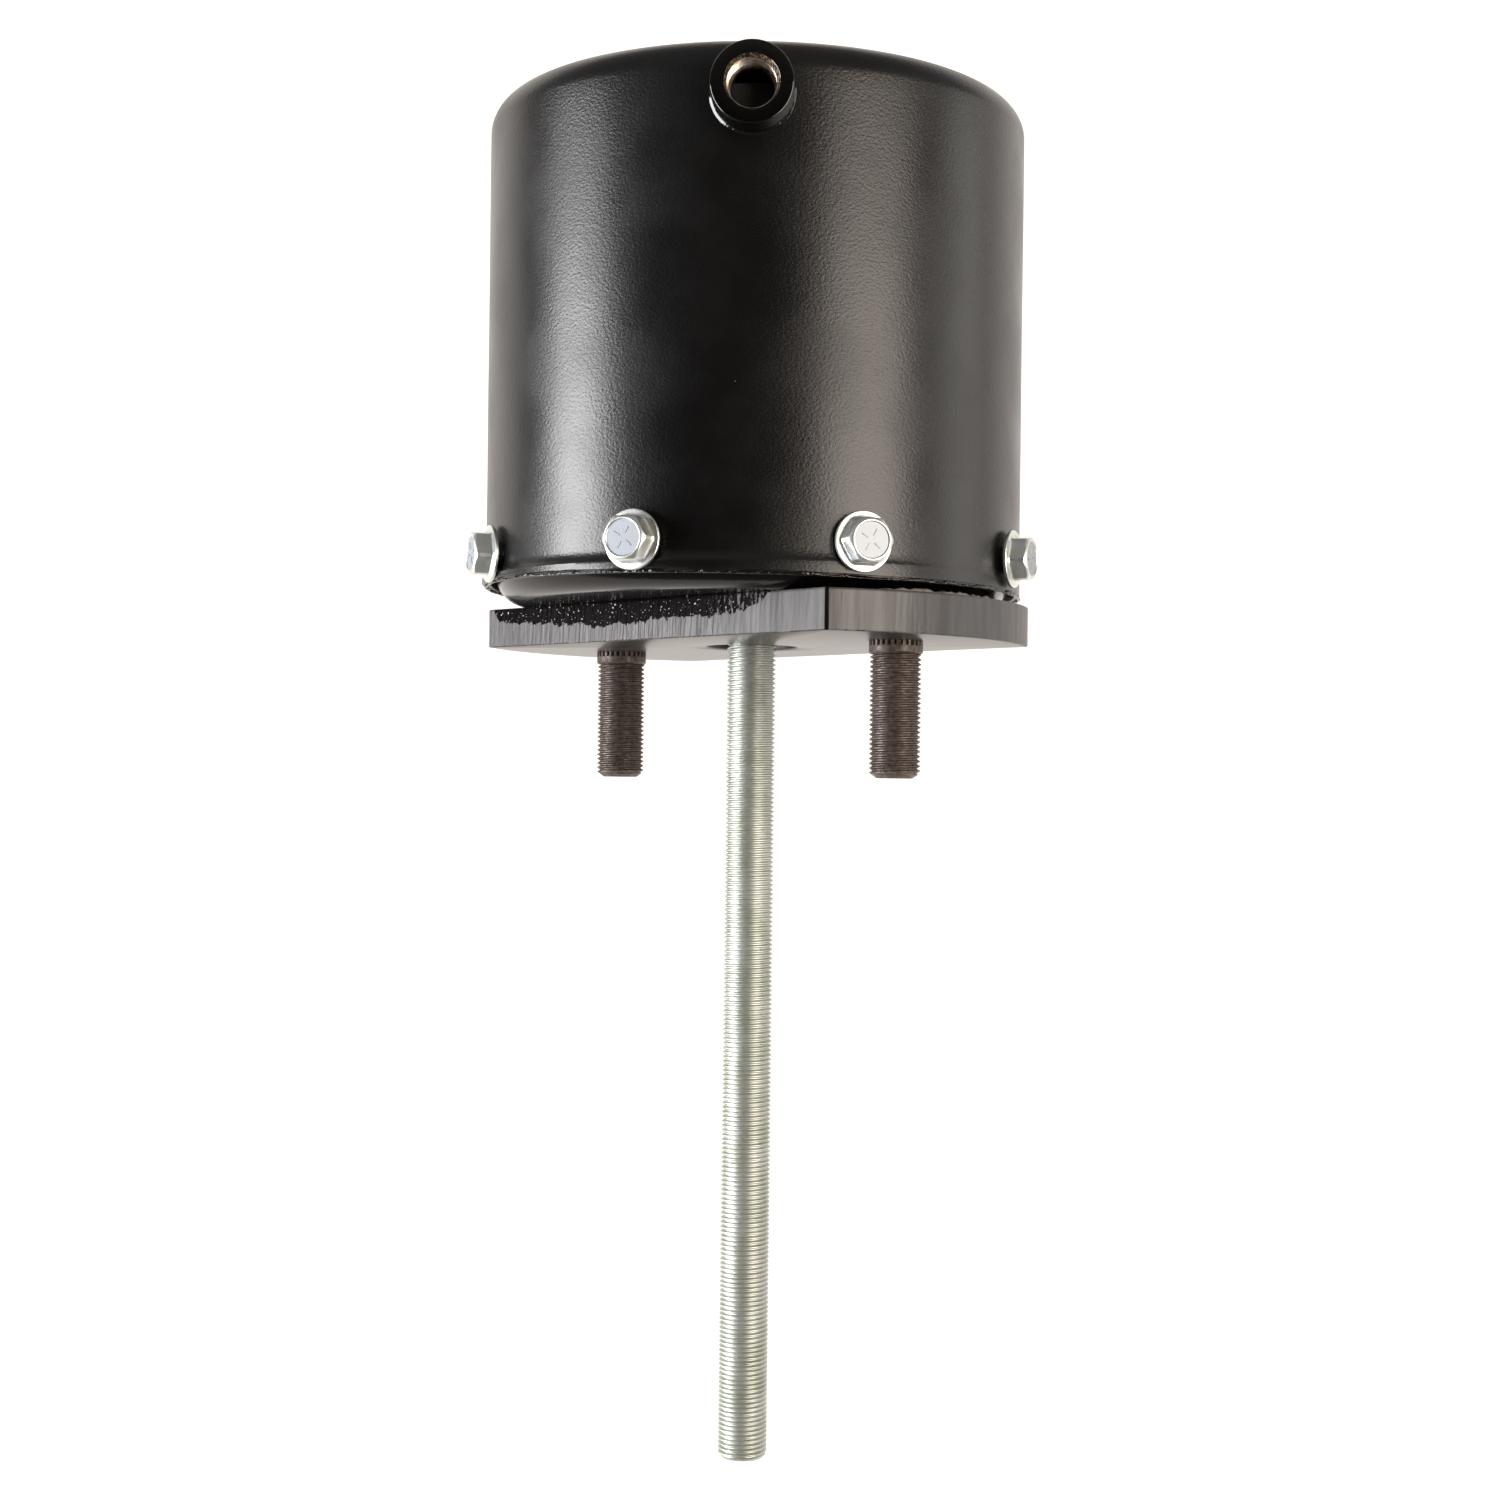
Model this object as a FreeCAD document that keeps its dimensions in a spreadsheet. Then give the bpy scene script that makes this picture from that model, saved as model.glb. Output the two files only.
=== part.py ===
import FreeCAD, Part

# Piston air brake chamber with a deep drawn can, a stud mounting plate and a long push rod.
# Lengths are in millimetres and angles in degrees.
# The origin is the middle of the mounting plate's underside and +Z runs up the can's axis.
# The inlet port faces -Y. Every piece stands where it is with the brake released.

import math
import os
import re

import Sketcher

Vector = FreeCAD.Vector
Rotation = FreeCAD.Rotation

doc = FreeCAD.newDocument("BrakeChamber")
sheet = doc.addObject("Spreadsheet::Sheet", "Sizes")

# name, value, what it measures
sizes = [
    ("stroke", 76, "travel of the piston"),
    ("stopGap", 0.3, "gap left between pieces that stop against each other"),
    ("canRadius", 86.75, "outer radius of the can"),
    ("canWall", 3, "sheet thickness of the can"),
    ("canEdge", 16.8, "height of the can's open edge"),
    ("topRoom", 12.2, "from the cup's lip to the corner of wall and crown"),
    ("crownRise", 9.5, "rise of the crown over its corner"),
    ("shoulderRadius", 10, "outer rounding between wall and crown"),
    ("lipFlare", 1.35, "how far the can's open edge flares"),
    ("lipHeight", 3.6, "height of the upright band at the flared edge"),
    ("lipSweep", 3.6, "height of the sweep from the wall out to that band"),
    ("lipInset", 0.75, "how much higher the band ends on the inside"),
    ("portDrop", 15.4, "port axis below the corner of wall and crown"),
    ("bossRadius", 12.25, "outer radius of the port boss"),
    ("bossLength", 10, "length of the boss beyond the can"),
    ("bossBevel", 0.6, "bevel on the boss's rim"),
    ("portBore", 7.19, "minor radius of the M16 x 1.5 port thread"),
    ("portMouth", 0.9, "countersink of the port thread"),
    ("portFloor", 1.2, "from the can's wall to the end of the port thread"),
    ("portHole", 6.5, "radius of the air hole under the thread and in the can"),
    ("weldWidth", 3.4, "width of the weld round the boss"),
    ("weldFoot", 0.75, "depth of the weld's foot below the can's nearest line"),
    ("plateRadius", 90.2, "radius of the mounting plate"),
    ("plateThick", 12.7, "thickness of the mounting plate"),
    ("flatDistance", 47.9, "from the axis to each cut side of the plate"),
    ("flatAngle", 43.2, "direction of the front cut side, from -Y towards -X"),
    ("rodHole", 15, "radius of the plate's centre hole"),
    ("headHeight", 25.3, "height of the lower head"),
    ("headWall", 3, "sheet thickness of the lower head"),
    ("headGap", 0.25, "gap between the head's skirt and the can"),
    ("headCorner", 9, "outer rounding of the head's bottom edge"),
    ("headHole", 18, "radius of the head's centre hole"),
    ("boltHeight", 26.4, "height of the case bolts"),
    ("boltCount", 8, "how many case bolts"),
    ("boltStart", 22.5, "direction of the first bolt, from -Y towards +X"),
    ("boltRadius", 4, "thread radius of a case bolt"),
    ("boltLength", 16, "length of a case bolt under its flange"),
    ("boltRoom", 0.4, "radial room round a bolt in the can and head"),
    ("boltFlange", 9, "radius of a bolt's flange"),
    ("flangeThick", 2, "thickness of a bolt's flange"),
    ("boltFlats", 13, "bolt head across flats"),
    ("boltHead", 7, "height of a bolt head with its flange"),
    ("boltTip", 0.8, "chamfer on a case bolt's tip"),
    ("crownBevel", 0.9, "height of the bevel on a bolt's hexagon"),
    ("crownFlat", 6.1, "radius where that bevel starts"),
    ("boltDish", 4.4, "radius of the recess in a bolt head"),
    ("dishDepth", 0.4, "depth of that recess"),
    ("nutFlats", 13, "weld nut across flats"),
    ("nutHeight", 6.5, "height of a weld nut"),
    ("studSpacing", 120.65, "distance between the mounting studs"),
    ("studAngle", 41, "turn of the stud line from +X towards -Y"),
    ("studRadius", 8, "thread radius of a stud"),
    ("studDrop", 42.6, "reach of a stud below the plate"),
    ("studTip", 5.6, "radius of the flat on a stud's tip"),
    ("studChamfer", 1.7, "height of the chamfer on a stud's tip"),
    ("knurlRadius", 8.4, "radius of a stud's knurled collar"),
    ("knurlDrop", 4, "reach of the collar below the plate"),
    ("knurlCount", 28, "how many grooves in the knurl"),
    ("knurlDepth", 0.45, "depth of those grooves"),
    ("knurlEnd", 1.8, "reach of the grooves below the plate"),
    ("studHead", 12, "radius of a stud's head"),
    ("studHeadThick", 5, "thickness of a stud's head"),
    ("studHeadBevel", 1, "bevel on a stud's head"),
    ("pressGap", 0.05, "radial gap modelled in pressed and screwed fits"),
    ("springRadius", 40, "mean radius of the return spring"),
    ("springWire", 5.5, "wire diameter of the return spring"),
    ("springTurns", 6, "turns of the return spring"),
    ("springRoom", 0.5, "room beside the spring's end turns"),
    ("seatWall", 2, "sheet thickness of the spring seat"),
    ("seatLip", 6, "height of the spring seat"),
    ("seatHole", 22, "radius of the hole in the spring seat"),
    ("pistonRoom", 0.75, "radial room round the piston"),
    ("pistonHeight", 28, "height of the piston's skirt"),
    ("pistonWall", 6, "thickness of the piston's skirt"),
    ("webThick", 7, "thickness of the piston's crown"),
    ("hubRadius", 41, "radius of the raised hub at its foot"),
    ("hubTop", 28, "radius of the raised hub near its top"),
    ("padRadius", 12, "radius of the hub's stop pad"),
    ("padRise", 4, "rise from the hub's shoulder to its stop pad"),
    ("padGap", 0.5, "gap between the stop pad and the crown"),
    ("collarDepth", 4, "depth of the collar that centres the spring"),
    ("collarWall", 3.95, "wall of that collar"),
    ("ribCount", 8, "how many ribs under the piston"),
    ("ribThick", 5, "thickness of a rib"),
    ("ribDepth", 14, "depth of a rib"),
    ("ribStart", 48, "radius where a rib starts"),
    ("ribNose", 4.7, "depth of a rib where it starts"),
    ("ribBite", 1.5, "how far a rib runs into the skirt"),
    ("guideHeight", 10, "height of the guide ring"),
    ("guideDepth", 2.5, "depth of the guide ring's groove"),
    ("guideBase", 4, "guide ring above the piston's lower edge"),
    ("feltHeight", 5, "height of the felt ring"),
    ("feltDepth", 3.5, "depth of the felt ring's groove"),
    ("feltBase", 17.5, "felt ring above the piston's lower edge"),
    ("ringGap", 0.1, "room of a ring in its groove"),
    ("ringSplit", 3, "width of the split in the guide ring"),
    ("wallGap", 0.3, "gap between rings or cup and the can"),
    ("cupHeight", 17.7, "height of the cup seal"),
    ("cupBase", 3.5, "thickness of the cup's base"),
    ("cupLip", 1.5, "thickness of the cup's lip"),
    ("cupRoot", 3.3, "thickness of the lip at its root"),
    ("cupRootHeight", 5.6, "height of the lip's root"),
    ("cupHole", 44, "radius of the cup's centre hole"),
    ("expanderThick", 0.8, "sheet thickness of the cup expander"),
    ("expanderRise", 10, "height of the expander's fingers"),
    ("fingerRoot", 6.9, "from the can's wall to the fingers' root"),
    ("fingerTip", 3.6, "from the can's wall to the fingers' tips"),
    ("fingerCount", 20, "how many fingers on the expander"),
    ("fingerSlot", 3, "width of the slots between the fingers"),
    ("followerThick", 4, "thickness of the follower plate"),
    ("followerRoom", 9.45, "from the cup's outside to the follower plate"),
    ("followerBevel", 1.3, "bevel on the follower plate's rim"),
    ("followerGap", 0.6, "room between follower plate and hub"),
    ("screwCircle", 58, "radius of the follower screws' circle"),
    ("screwCount", 8, "how many follower screws"),
    ("screwRadius", 3, "thread radius of the small screws"),
    ("screwRoom", 0.3, "radial room round the small screws"),
    ("screwLength", 16, "length of a follower screw"),
    ("screwFlats", 10, "follower screw across flats"),
    ("screwHead", 4, "height of a follower screw's head"),
    ("ballDrop", 28.2, "ball centre below the stop pad"),
    ("ballRadius", 14, "radius of the ball on the push rod"),
    ("linerWall", 2.9, "thickness of the ball liner"),
    ("ballFit", 0.1, "radial running fit of the ball and of its liner"),
    ("linerMouth", 11, "liner's lower edge below the ball centre"),
    ("linerHole", 5, "radius of the grease hole in the liner"),
    ("capSeat", 6, "socket cap's joint below the ball centre"),
    ("capMouth", 11.5, "cap's spherical zone below the ball centre"),
    ("capBottom", 14, "cap's underside below the ball centre"),
    ("capRoom", 0.3, "radial room round the socket cap"),
    ("capScrewEdge", 7.5, "from the cap screws' circle to the cap's rim"),
    ("capScrews", 6, "how many cap screws"),
    ("capScrewLength", 20, "length of a cap screw"),
    ("capScrewHead", 5, "radius of a cap screw's head"),
    ("capHeadHeight", 6, "height of a cap screw's head"),
    ("tapExtra", 2, "how much deeper a tapped hole is than its screw"),
    ("rodRadius", 8, "thread radius of the push rod"),
    ("rodDrop", 264.6, "reach of the push rod below the plate"),
    ("rodChamfer", 1.3, "chamfer on the push rod's end"),
    ("rodShank", 7.35, "radius of the plain shank over the thread"),
    ("threadStop", 0.5, "thread's upper end below the plate"),
    ("tenonRadius", 7, "radius of the tenon inside the ball"),
    ("tenonTop", 11, "tenon's and ball's top over the ball centre"),
    ("shankTop", 11.5, "shank's shoulder below the ball centre"),
    ("pinRadius", 2, "radius of the pin through the ball"),
    ("pinLength", 25, "length of the pin through the ball"),
    ("overcut", 1, "how far a cut reaches past what it cuts"),
]
names = [name for name, number, note in sizes]
closeEnough = 1e-4
for row, (name, number, note) in enumerate(sizes, start=1):
    sheet.set("A%d" % row, note)
    sheet.set("B%d" % row, str(number))
    sheet.setAlias("B%d" % row, name)
doc.recompute()

# Heights and radii that follow from the sizes, as expressions
canInner = "(canRadius - canWall)"
headOuter = "(%s - headGap)" % canInner
headInner = "(%s - headWall)" % headOuter
headFloor = "(plateThick + headWall)"
headTopEdge = "(plateThick + headHeight)"
pistonBase = "(%s + stopGap + stroke)" % headTopEdge
pistonTop = "(%s + pistonHeight)" % pistonBase
canCorner = "(%s + cupHeight + topRoom)" % pistonTop
crownRadius = "((canRadius^2 + crownRise^2) / (2 * crownRise))"
crownCentre = "(%s + crownRise - %s)" % (canCorner, crownRadius)
hubHeight = "(pistonHeight + cupHeight + topRoom + crownRise - canWall - padGap)"
ballHeight = "(%s + %s - ballDrop)" % (pistonBase, hubHeight)
pistonRadius = "(%s - pistonRoom)" % canInner
sealRadius = "(%s - wallGap)" % canInner
followerRadius = "(%s - followerRoom)" % sealRadius
webUnder = "(pistonHeight - webThick)"
socketRadius = "(ballRadius + linerWall + 2 * ballFit)"
linerOuter = "(ballRadius + ballFit + linerWall)"
linerInner = "(ballRadius + ballFit)"
expanderTop = "(cupBase + expanderThick)"
followerTop = "(%s + followerThick)" % expanderTop
springGuide = "(springRadius - springWire / 2 - springRoom)"
capRadius = "(%s - collarWall - capRoom)" % springGuide
capCircle = "(%s - capScrewEdge)" % capRadius
springFoot = "(%s + seatWall)" % headFloor
springHead = "(%s + %s)" % (pistonBase, webUnder)


def value(expression):
    return float(sheet.evalExpression(str(expression)))


def bound(expression):
    def cell(word):
        return "Sizes." + word.group() if word.group() in names else word.group()
    return re.sub(r"[A-Za-z]\w*", cell, str(expression))


def origin(body, role):
    return next(feature for feature in body.Origin.OriginFeatures if feature.Role == role)


def newBody(label, height="0"):
    body = doc.addObject("PartDesign::Body", label)
    body.Label = label
    body.setExpression("Placement.Base.z", bound(height))
    return body


def newSketch(body, name, plane, offset=None):
    sketch = body.newObject("Sketcher::SketchObject", name)
    sketch.AttachmentSupport = [(origin(body, plane), "")]
    sketch.MapMode = "FlatFace"
    if offset is not None:
        sketch.setExpression("AttachmentOffset.Base.z", bound(offset))
    return sketch


def fix(sketch, kind, geometry, point, expression):
    index = sketch.addConstraint(Sketcher.Constraint(kind, geometry, point, value(expression)))
    sketch.setExpression("Constraints[%d]" % index, bound(expression))


def outline(sketch, points, arcs=()):
    """Closed outline through points; a side listed in arcs is centred on the vertical axis."""
    spots = [Vector(value(x), value(y), 0) for x, y in points]
    ends = []
    for side, (start, end) in enumerate(zip(spots, spots[1:] + spots[:1])):
        if side in arcs:
            rise = (start.x**2 + start.y**2 - end.x**2 - end.y**2) / (2 * (start.y - end.y))
            centre = Vector(0, rise, 0)
            circle = Part.Circle(centre, Vector(0, 0, 1), (start - centre).Length)
            leftTurn = (start - centre).cross(end - centre).z > 0
            first, last = (start, end) if leftTurn else (end, start)
            arc = Part.ArcOfCircle(circle, circle.parameter(first), circle.parameter(last))
            geometry = sketch.addGeometry(arc)
            ends.append((geometry, 1, 2) if leftTurn else (geometry, 2, 1))
            fix(sketch, "DistanceX", geometry, 3, "0")
        else:
            geometry = sketch.addGeometry(Part.LineSegment(start, end))
            ends.append((geometry, 1, 2))
    for side, (x, y) in enumerate(points):
        geometry, startPoint, endPoint = ends[side]
        before, ignored, beforeEnd = ends[side - 1]
        joint = Sketcher.Constraint("Coincident", before, beforeEnd, geometry, startPoint)
        sketch.addConstraint(joint)
        fix(sketch, "DistanceX", geometry, startPoint, x)
        fix(sketch, "DistanceY", geometry, startPoint, y)


def ring(sketch, x, y, radius):
    spot = Vector(value(x), value(y), 0)
    geometry = sketch.addGeometry(Part.Circle(spot, Vector(0, 0, 1), value(radius)))
    fix(sketch, "DistanceX", geometry, 3, x)
    fix(sketch, "DistanceY", geometry, 3, y)
    index = sketch.addConstraint(Sketcher.Constraint("Radius", geometry, value(radius)))
    sketch.setExpression("Constraints[%d]" % index, bound(radius))


def hexagon(x, y, flats, turn=0):
    corner = "(%s) / sqrt(3)" % flats
    return [("%s + %s * cos(%d)" % (x, corner, turn + 60 * step),
             "%s + %s * sin(%d)" % (y, corner, turn + 60 * step)) for step in range(6)]


def revolve(body, name, points, arcs=(), axis="V_Axis", cut=False):
    sketch = newSketch(body, name + "Profile", "XZ_Plane")
    outline(sketch, points, arcs)
    kind = "PartDesign::Groove" if cut else "PartDesign::Revolution"
    feature = body.newObject(kind, name)
    feature.Profile = sketch
    feature.ReferenceAxis = (sketch, [axis])
    feature.Angle = 360
    return feature


def extrude(body, name, sketch, length, cut=False, midplane=False, reversed=False):
    feature = body.newObject("PartDesign::Pocket" if cut else "PartDesign::Pad", name)
    feature.Profile = sketch
    feature.setExpression("Length", bound(length))
    if midplane:
        feature.SideType = "Symmetric"
    feature.Reversed = reversed
    return feature


def polar(body, name, features, count):
    pattern = body.newObject("PartDesign::PolarPattern", name)
    pattern.Originals = features
    pattern.Axis = (origin(body, "Z_Axis"), [""])
    pattern.Angle = 360
    pattern.setExpression("Occurrences", bound(count))
    body.Tip = pattern
    return pattern


def circleEdges(feature, radius, height):
    """Names of the feature's whole circles of one radius at one height."""
    doc.recompute()
    found = []
    for index, edge in enumerate(feature.Shape.Edges, start=1):
        if edge.Degenerated or not isinstance(edge.Curve, Part.Circle):
            continue
        sameSize = math.isclose(edge.Curve.Radius, value(radius), rel_tol=closeEnough)
        if sameSize and math.isclose(edge.Curve.Center.z, value(height), abs_tol=closeEnough):
            found.append("Edge%d" % index)
    return found


def roundOff(body, name, feature, edges, radius):
    fillet = body.newObject("PartDesign::Fillet", name)
    fillet.Base = (feature, edges)
    fillet.setExpression("Radius", bound(radius))
    return fillet


def holesRound(body, name, circle, radius, depth, count, base="0", reversed=False):
    """A circle of upright holes, cut from one height."""
    sketch = newSketch(body, name + "Sketch", "XY_Plane", base)
    ring(sketch, circle, "0", radius)
    hole = extrude(body, name, sketch, depth, cut=True, reversed=reversed)
    return polar(body, name + "Pattern", [hole], count)


def turnSketch(sketch, angle):
    """Turns a sketch on the XZ plane round the upright axis, from -Y towards +X."""
    sketch.AttachmentOffset = FreeCAD.Placement(Vector(), Rotation(Vector(0, 1, 0), 1))
    sketch.setExpression("AttachmentOffset.Rotation.Angle", bound(angle))


# Can

def wallLine(radius, height):
    """Outer or inner side of the can's open edge, from its rim to the plain wall."""
    return [("%s + lipFlare" % radius, "0"), ("%s + lipFlare" % radius, height),
            (radius, "%s + lipSweep" % height)]


def pressureCan():
    body = newBody("pressure_can", "canEdge")
    corner = "(%s - canEdge)" % canCorner
    centre = "(%s - canEdge)" % crownCentre
    innerCorner = "(%s + sqrt((%s - canWall)^2 - %s^2))" % (centre, crownRadius, canInner)
    outer = wallLine("canRadius", "lipHeight")
    inner = wallLine(canInner, "lipHeight + lipInset")
    points = outer + [("canRadius", corner), ("0", "%s + crownRise" % corner),
                      ("0", "%s + crownRise - canWall" % corner), (canInner, innerCorner)]
    points += reversed(inner)
    shell = revolve(body, "Shell", points, arcs=(3, 5))
    outerEdge = circleEdges(shell, "canRadius", corner)
    shoulder = roundOff(body, "Shoulder", shell, outerEdge, "shoulderRadius")
    innerEdge = circleEdges(shoulder, canInner, innerCorner)
    roundOff(body, "InnerShoulder", shoulder, innerEdge, "shoulderRadius - canWall")
    boltSketch = newSketch(body, "BoltHoleSketch", "XZ_Plane")
    turnSketch(boltSketch, "boltStart")
    ring(boltSketch, "0", "boltHeight - canEdge", "boltRadius + boltRoom")
    boltHole = extrude(body, "BoltHole", boltSketch, "canRadius + lipFlare", cut=True,
                       reversed=True)
    polar(body, "BoltHoles", [boltHole], "boltCount")
    airSketch = newSketch(body, "AirHoleSketch", "XZ_Plane")
    ring(airSketch, "0", "%s - portDrop" % corner, "portHole")
    extrude(body, "AirHole", airSketch, "canRadius + lipFlare", cut=True, reversed=True)
    return body


def canEnvelope():
    """The can's outer form without its hollow, to shape what sits on it."""
    body = newBody("can_envelope")
    points = [("0", "canEdge"), ("canRadius", "canEdge"), ("canRadius", canCorner),
              ("0", "%s + crownRise" % canCorner)]
    block = revolve(body, "Block", points, arcs=(2,))
    edges = circleEdges(block, "canRadius", canCorner)
    roundOff(body, "BlockShoulder", block, edges, "shoulderRadius")
    return body


def inletPort(envelope):
    blank = newBody("port_blank", "%s - portDrop" % canCorner)
    blank.Placement = FreeCAD.Placement(blank.Placement.Base, Rotation(Vector(1, 0, 0), 90))
    tip = "canRadius + bossLength"
    foot = "bossRadius + weldWidth"
    threadEnd = "canRadius + portFloor"
    points = [("portHole", "canRadius - canWall"), (foot, "canRadius - canWall"),
              (foot, "canRadius - weldFoot"), ("bossRadius", "canRadius + weldWidth"),
              ("bossRadius", "%s - bossBevel" % tip), ("bossRadius - bossBevel", tip),
              ("portBore + portMouth", tip), ("portBore", "%s - portMouth" % tip),
              ("portBore", threadEnd), ("portHole", threadEnd)]
    revolve(blank, "Boss", points)
    cut = doc.addObject("Part::Cut", "inlet_port")
    cut.Label = "inlet_port"
    cut.Base = blank
    cut.Tool = envelope
    return cut


# Mounting plate, lower head and fasteners

def studSpot(side):
    return ("%d * studSpacing / 2 * cos(studAngle)" % side,
            "%d * -1 * studSpacing / 2 * sin(studAngle)" % side)


def cutSide(face):
    """Corners of what is cut off the round plate on its front (1) or back (-1) side."""
    outward = ("-1 * sin(flatAngle)", "-1 * cos(flatAngle)")
    along = ("cos(flatAngle)", "-1 * sin(flatAngle)")
    corners = []
    for distance, side in (("flatDistance", -1), ("flatDistance", 1),
                           ("(plateRadius + overcut)", 1), ("(plateRadius + overcut)", -1)):
        corners.append(tuple("%d * %s * %s + %d * plateRadius * %s" % (face, distance, out, side, line)
                             for out, line in zip(outward, along)))
    return corners


def mountingPlate():
    body = newBody("mounting_plate")
    disc = newSketch(body, "DiscSketch", "XY_Plane")
    ring(disc, "0", "0", "plateRadius")
    ring(disc, "0", "0", "rodHole")
    extrude(body, "Disc", disc, "plateThick")
    flats = newSketch(body, "FlatSketch", "XY_Plane")
    for face in (1, -1):
        outline(flats, cutSide(face))
    extrude(body, "Flats", flats, "plateThick", cut=True, reversed=True)
    holes = newSketch(body, "StudHoleSketch", "XY_Plane")
    for side in (-1, 1):
        ring(holes, *studSpot(side), "knurlRadius + pressGap")
    extrude(body, "StudHoles", holes, "plateThick", cut=True, reversed=True)
    return body


def lowerHead():
    body = newBody("lower_head", "plateThick")
    points = [("headHole", "0"), (headOuter, "0"), (headOuter, "headHeight"),
              (headInner, "headHeight"), (headInner, "headWall"), ("headHole", "headWall")]
    pan = revolve(body, "Pan", points)
    outerEdge = circleEdges(pan, headOuter, "0")
    outerRound = roundOff(body, "PanCorner", pan, outerEdge, "headCorner")
    innerEdge = circleEdges(outerRound, headInner, "headWall")
    roundOff(body, "PanInnerCorner", outerRound, innerEdge, "headCorner - headWall")
    boltSketch = newSketch(body, "BoltHoleSketch", "XZ_Plane")
    turnSketch(boltSketch, "boltStart")
    ring(boltSketch, "0", "boltHeight - plateThick", "boltRadius + boltRoom")
    boltHole = extrude(body, "BoltHole", boltSketch, "canRadius", cut=True, reversed=True)
    polar(body, "BoltHoles", [boltHole], "boltCount")
    holes = newSketch(body, "StudHoleSketch", "XY_Plane")
    for side in (-1, 1):
        ring(holes, *studSpot(side), "knurlRadius + pressGap")
    extrude(body, "StudHoles", holes, "headWall", cut=True, reversed=True)
    return body


def mountingStud(label, side):
    body = newBody(label)
    x, y = studSpot(side)
    body.setExpression("Placement.Base.x", bound(x))
    body.setExpression("Placement.Base.y", bound(y))
    tip = "-1 * studDrop"
    seat = headFloor
    top = "%s + studHeadThick" % seat
    points = [("0", tip), ("studTip", tip), ("studRadius", "%s + studChamfer" % tip),
              ("studRadius", "-1 * knurlDrop - (knurlRadius - studRadius)"),
              ("knurlRadius", "-1 * knurlDrop"), ("knurlRadius", seat), ("studHead", seat),
              ("studHead", "%s - studHeadBevel" % top), ("studHead - studHeadBevel", top),
              ("0", top)]
    revolve(body, "Stud", points)
    sketch = newSketch(body, "KnurlSketch", "XY_Plane", "-1 * knurlEnd")
    outline(sketch, [("knurlRadius - knurlDepth", "0"), ("knurlRadius + knurlDepth", "-2 * knurlDepth"),
                     ("knurlRadius + knurlDepth", "2 * knurlDepth")])
    knurl = extrude(body, "KnurlGroove", sketch, "knurlEnd + %s" % seat, cut=True, reversed=True)
    polar(body, "Knurl", [knurl], "knurlCount")
    return body


def radialBody(label):
    """Body with its +X side on the first case bolt, at the bolts' height."""
    body = newBody(label, "boltHeight")
    body.Placement = FreeCAD.Placement(Vector(), Rotation(Vector(0, 0, 1), 10))
    body.setExpression("Placement.Rotation.Angle", bound("270 + boltStart"))
    return body


def caseBolts():
    body = radialBody("case_bolts")
    seat = "(canRadius + lipFlare)"
    end = "%s - boltLength" % seat
    top = "%s + boltHead" % seat
    corner = "boltFlats / sqrt(3)"
    shank = revolve(body, "Shank", [
        (end, "0"), (end, "boltRadius - boltTip"), ("%s + boltTip" % end, "boltRadius"),
        (seat, "boltRadius"), (seat, "boltFlange"), ("%s + flangeThick / 2" % seat, "boltFlange"),
        ("%s + flangeThick" % seat, corner), ("%s + flangeThick" % seat, "0")], axis="H_Axis")
    headSketch = newSketch(body, "HeadSketch", "YZ_Plane", "%s + flangeThick / 2" % seat)
    outline(headSketch, hexagon("0", "0", "boltFlats"))
    head = extrude(body, "Head", headSketch, "boltHead - flangeThick / 2")
    bevelCut = revolve(body, "HeadBevel", [
        ("%s - crownBevel" % top, corner), (top, corner), (top, "crownFlat")],
        axis="H_Axis", cut=True)
    dishSketch = newSketch(body, "DishSketch", "YZ_Plane", top)
    ring(dishSketch, "0", "0", "boltDish")
    dish = extrude(body, "Dish", dishSketch, "dishDepth", cut=True)
    polar(body, "Bolts", [shank, head, bevelCut, dish], "boltCount")
    return body


def weldNuts():
    body = radialBody("weld_nuts")
    corner = "nutFlats / sqrt(3)"
    seat = "(sqrt(%s^2 - (%s)^2) - pressGap)" % (headInner, corner)
    sketch = newSketch(body, "NutSketch", "YZ_Plane", "%s - nutHeight" % seat)
    outline(sketch, hexagon("0", "0", "nutFlats"))
    ring(sketch, "0", "0", "boltRadius + pressGap")
    nut = extrude(body, "Nut", sketch, "nutHeight")
    polar(body, "Nuts", [nut], "boltCount")
    return body


def springSeat():
    body = newBody("spring_seat", headFloor)
    inside = "springRadius + springWire / 2 + springRoom"
    outside = inside + " + seatWall"
    points = [("seatHole", "0"), (outside, "0"), (outside, "seatLip"), (inside, "seatLip"),
              (inside, "seatWall"), ("seatHole", "seatWall")]
    revolve(body, "Seat", points)
    return body


def returnSpring():
    helix = doc.addObject("Part::Helix", "SpringLine")
    height = "(%s - %s - springWire)" % (springHead, springFoot)
    helix.setExpression("Radius", bound("springRadius"))
    helix.setExpression("Height", bound(height))
    helix.setExpression("Pitch", bound("%s / springTurns" % height))
    helix.SegmentLength = 0.5
    wire = doc.addObject("Part::Circle", "SpringWire")
    wire.setExpression("Radius", bound("springWire / 2"))
    wire.Placement.Rotation = Rotation(Vector(1, 0, 0), 90)
    wire.setExpression("Placement.Base.x", bound("springRadius"))
    spring = doc.addObject("Part::Sweep", "return_spring")
    spring.Label = "return_spring"
    spring.Sections = [wire]
    spring.Spine = (helix, [])
    spring.Solid = True
    spring.Frenet = True
    spring.setExpression("Placement.Base.z", bound("%s + springWire / 2" % springFoot))
    return spring


# Piston and what it carries

def groove(base, height, depth):
    inside = "%s - %s" % (pistonRadius, depth)
    top = "%s + %s" % (base, height)
    return [(pistonRadius, base), (inside, base), (inside, top), (pistonRadius, top)]


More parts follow.
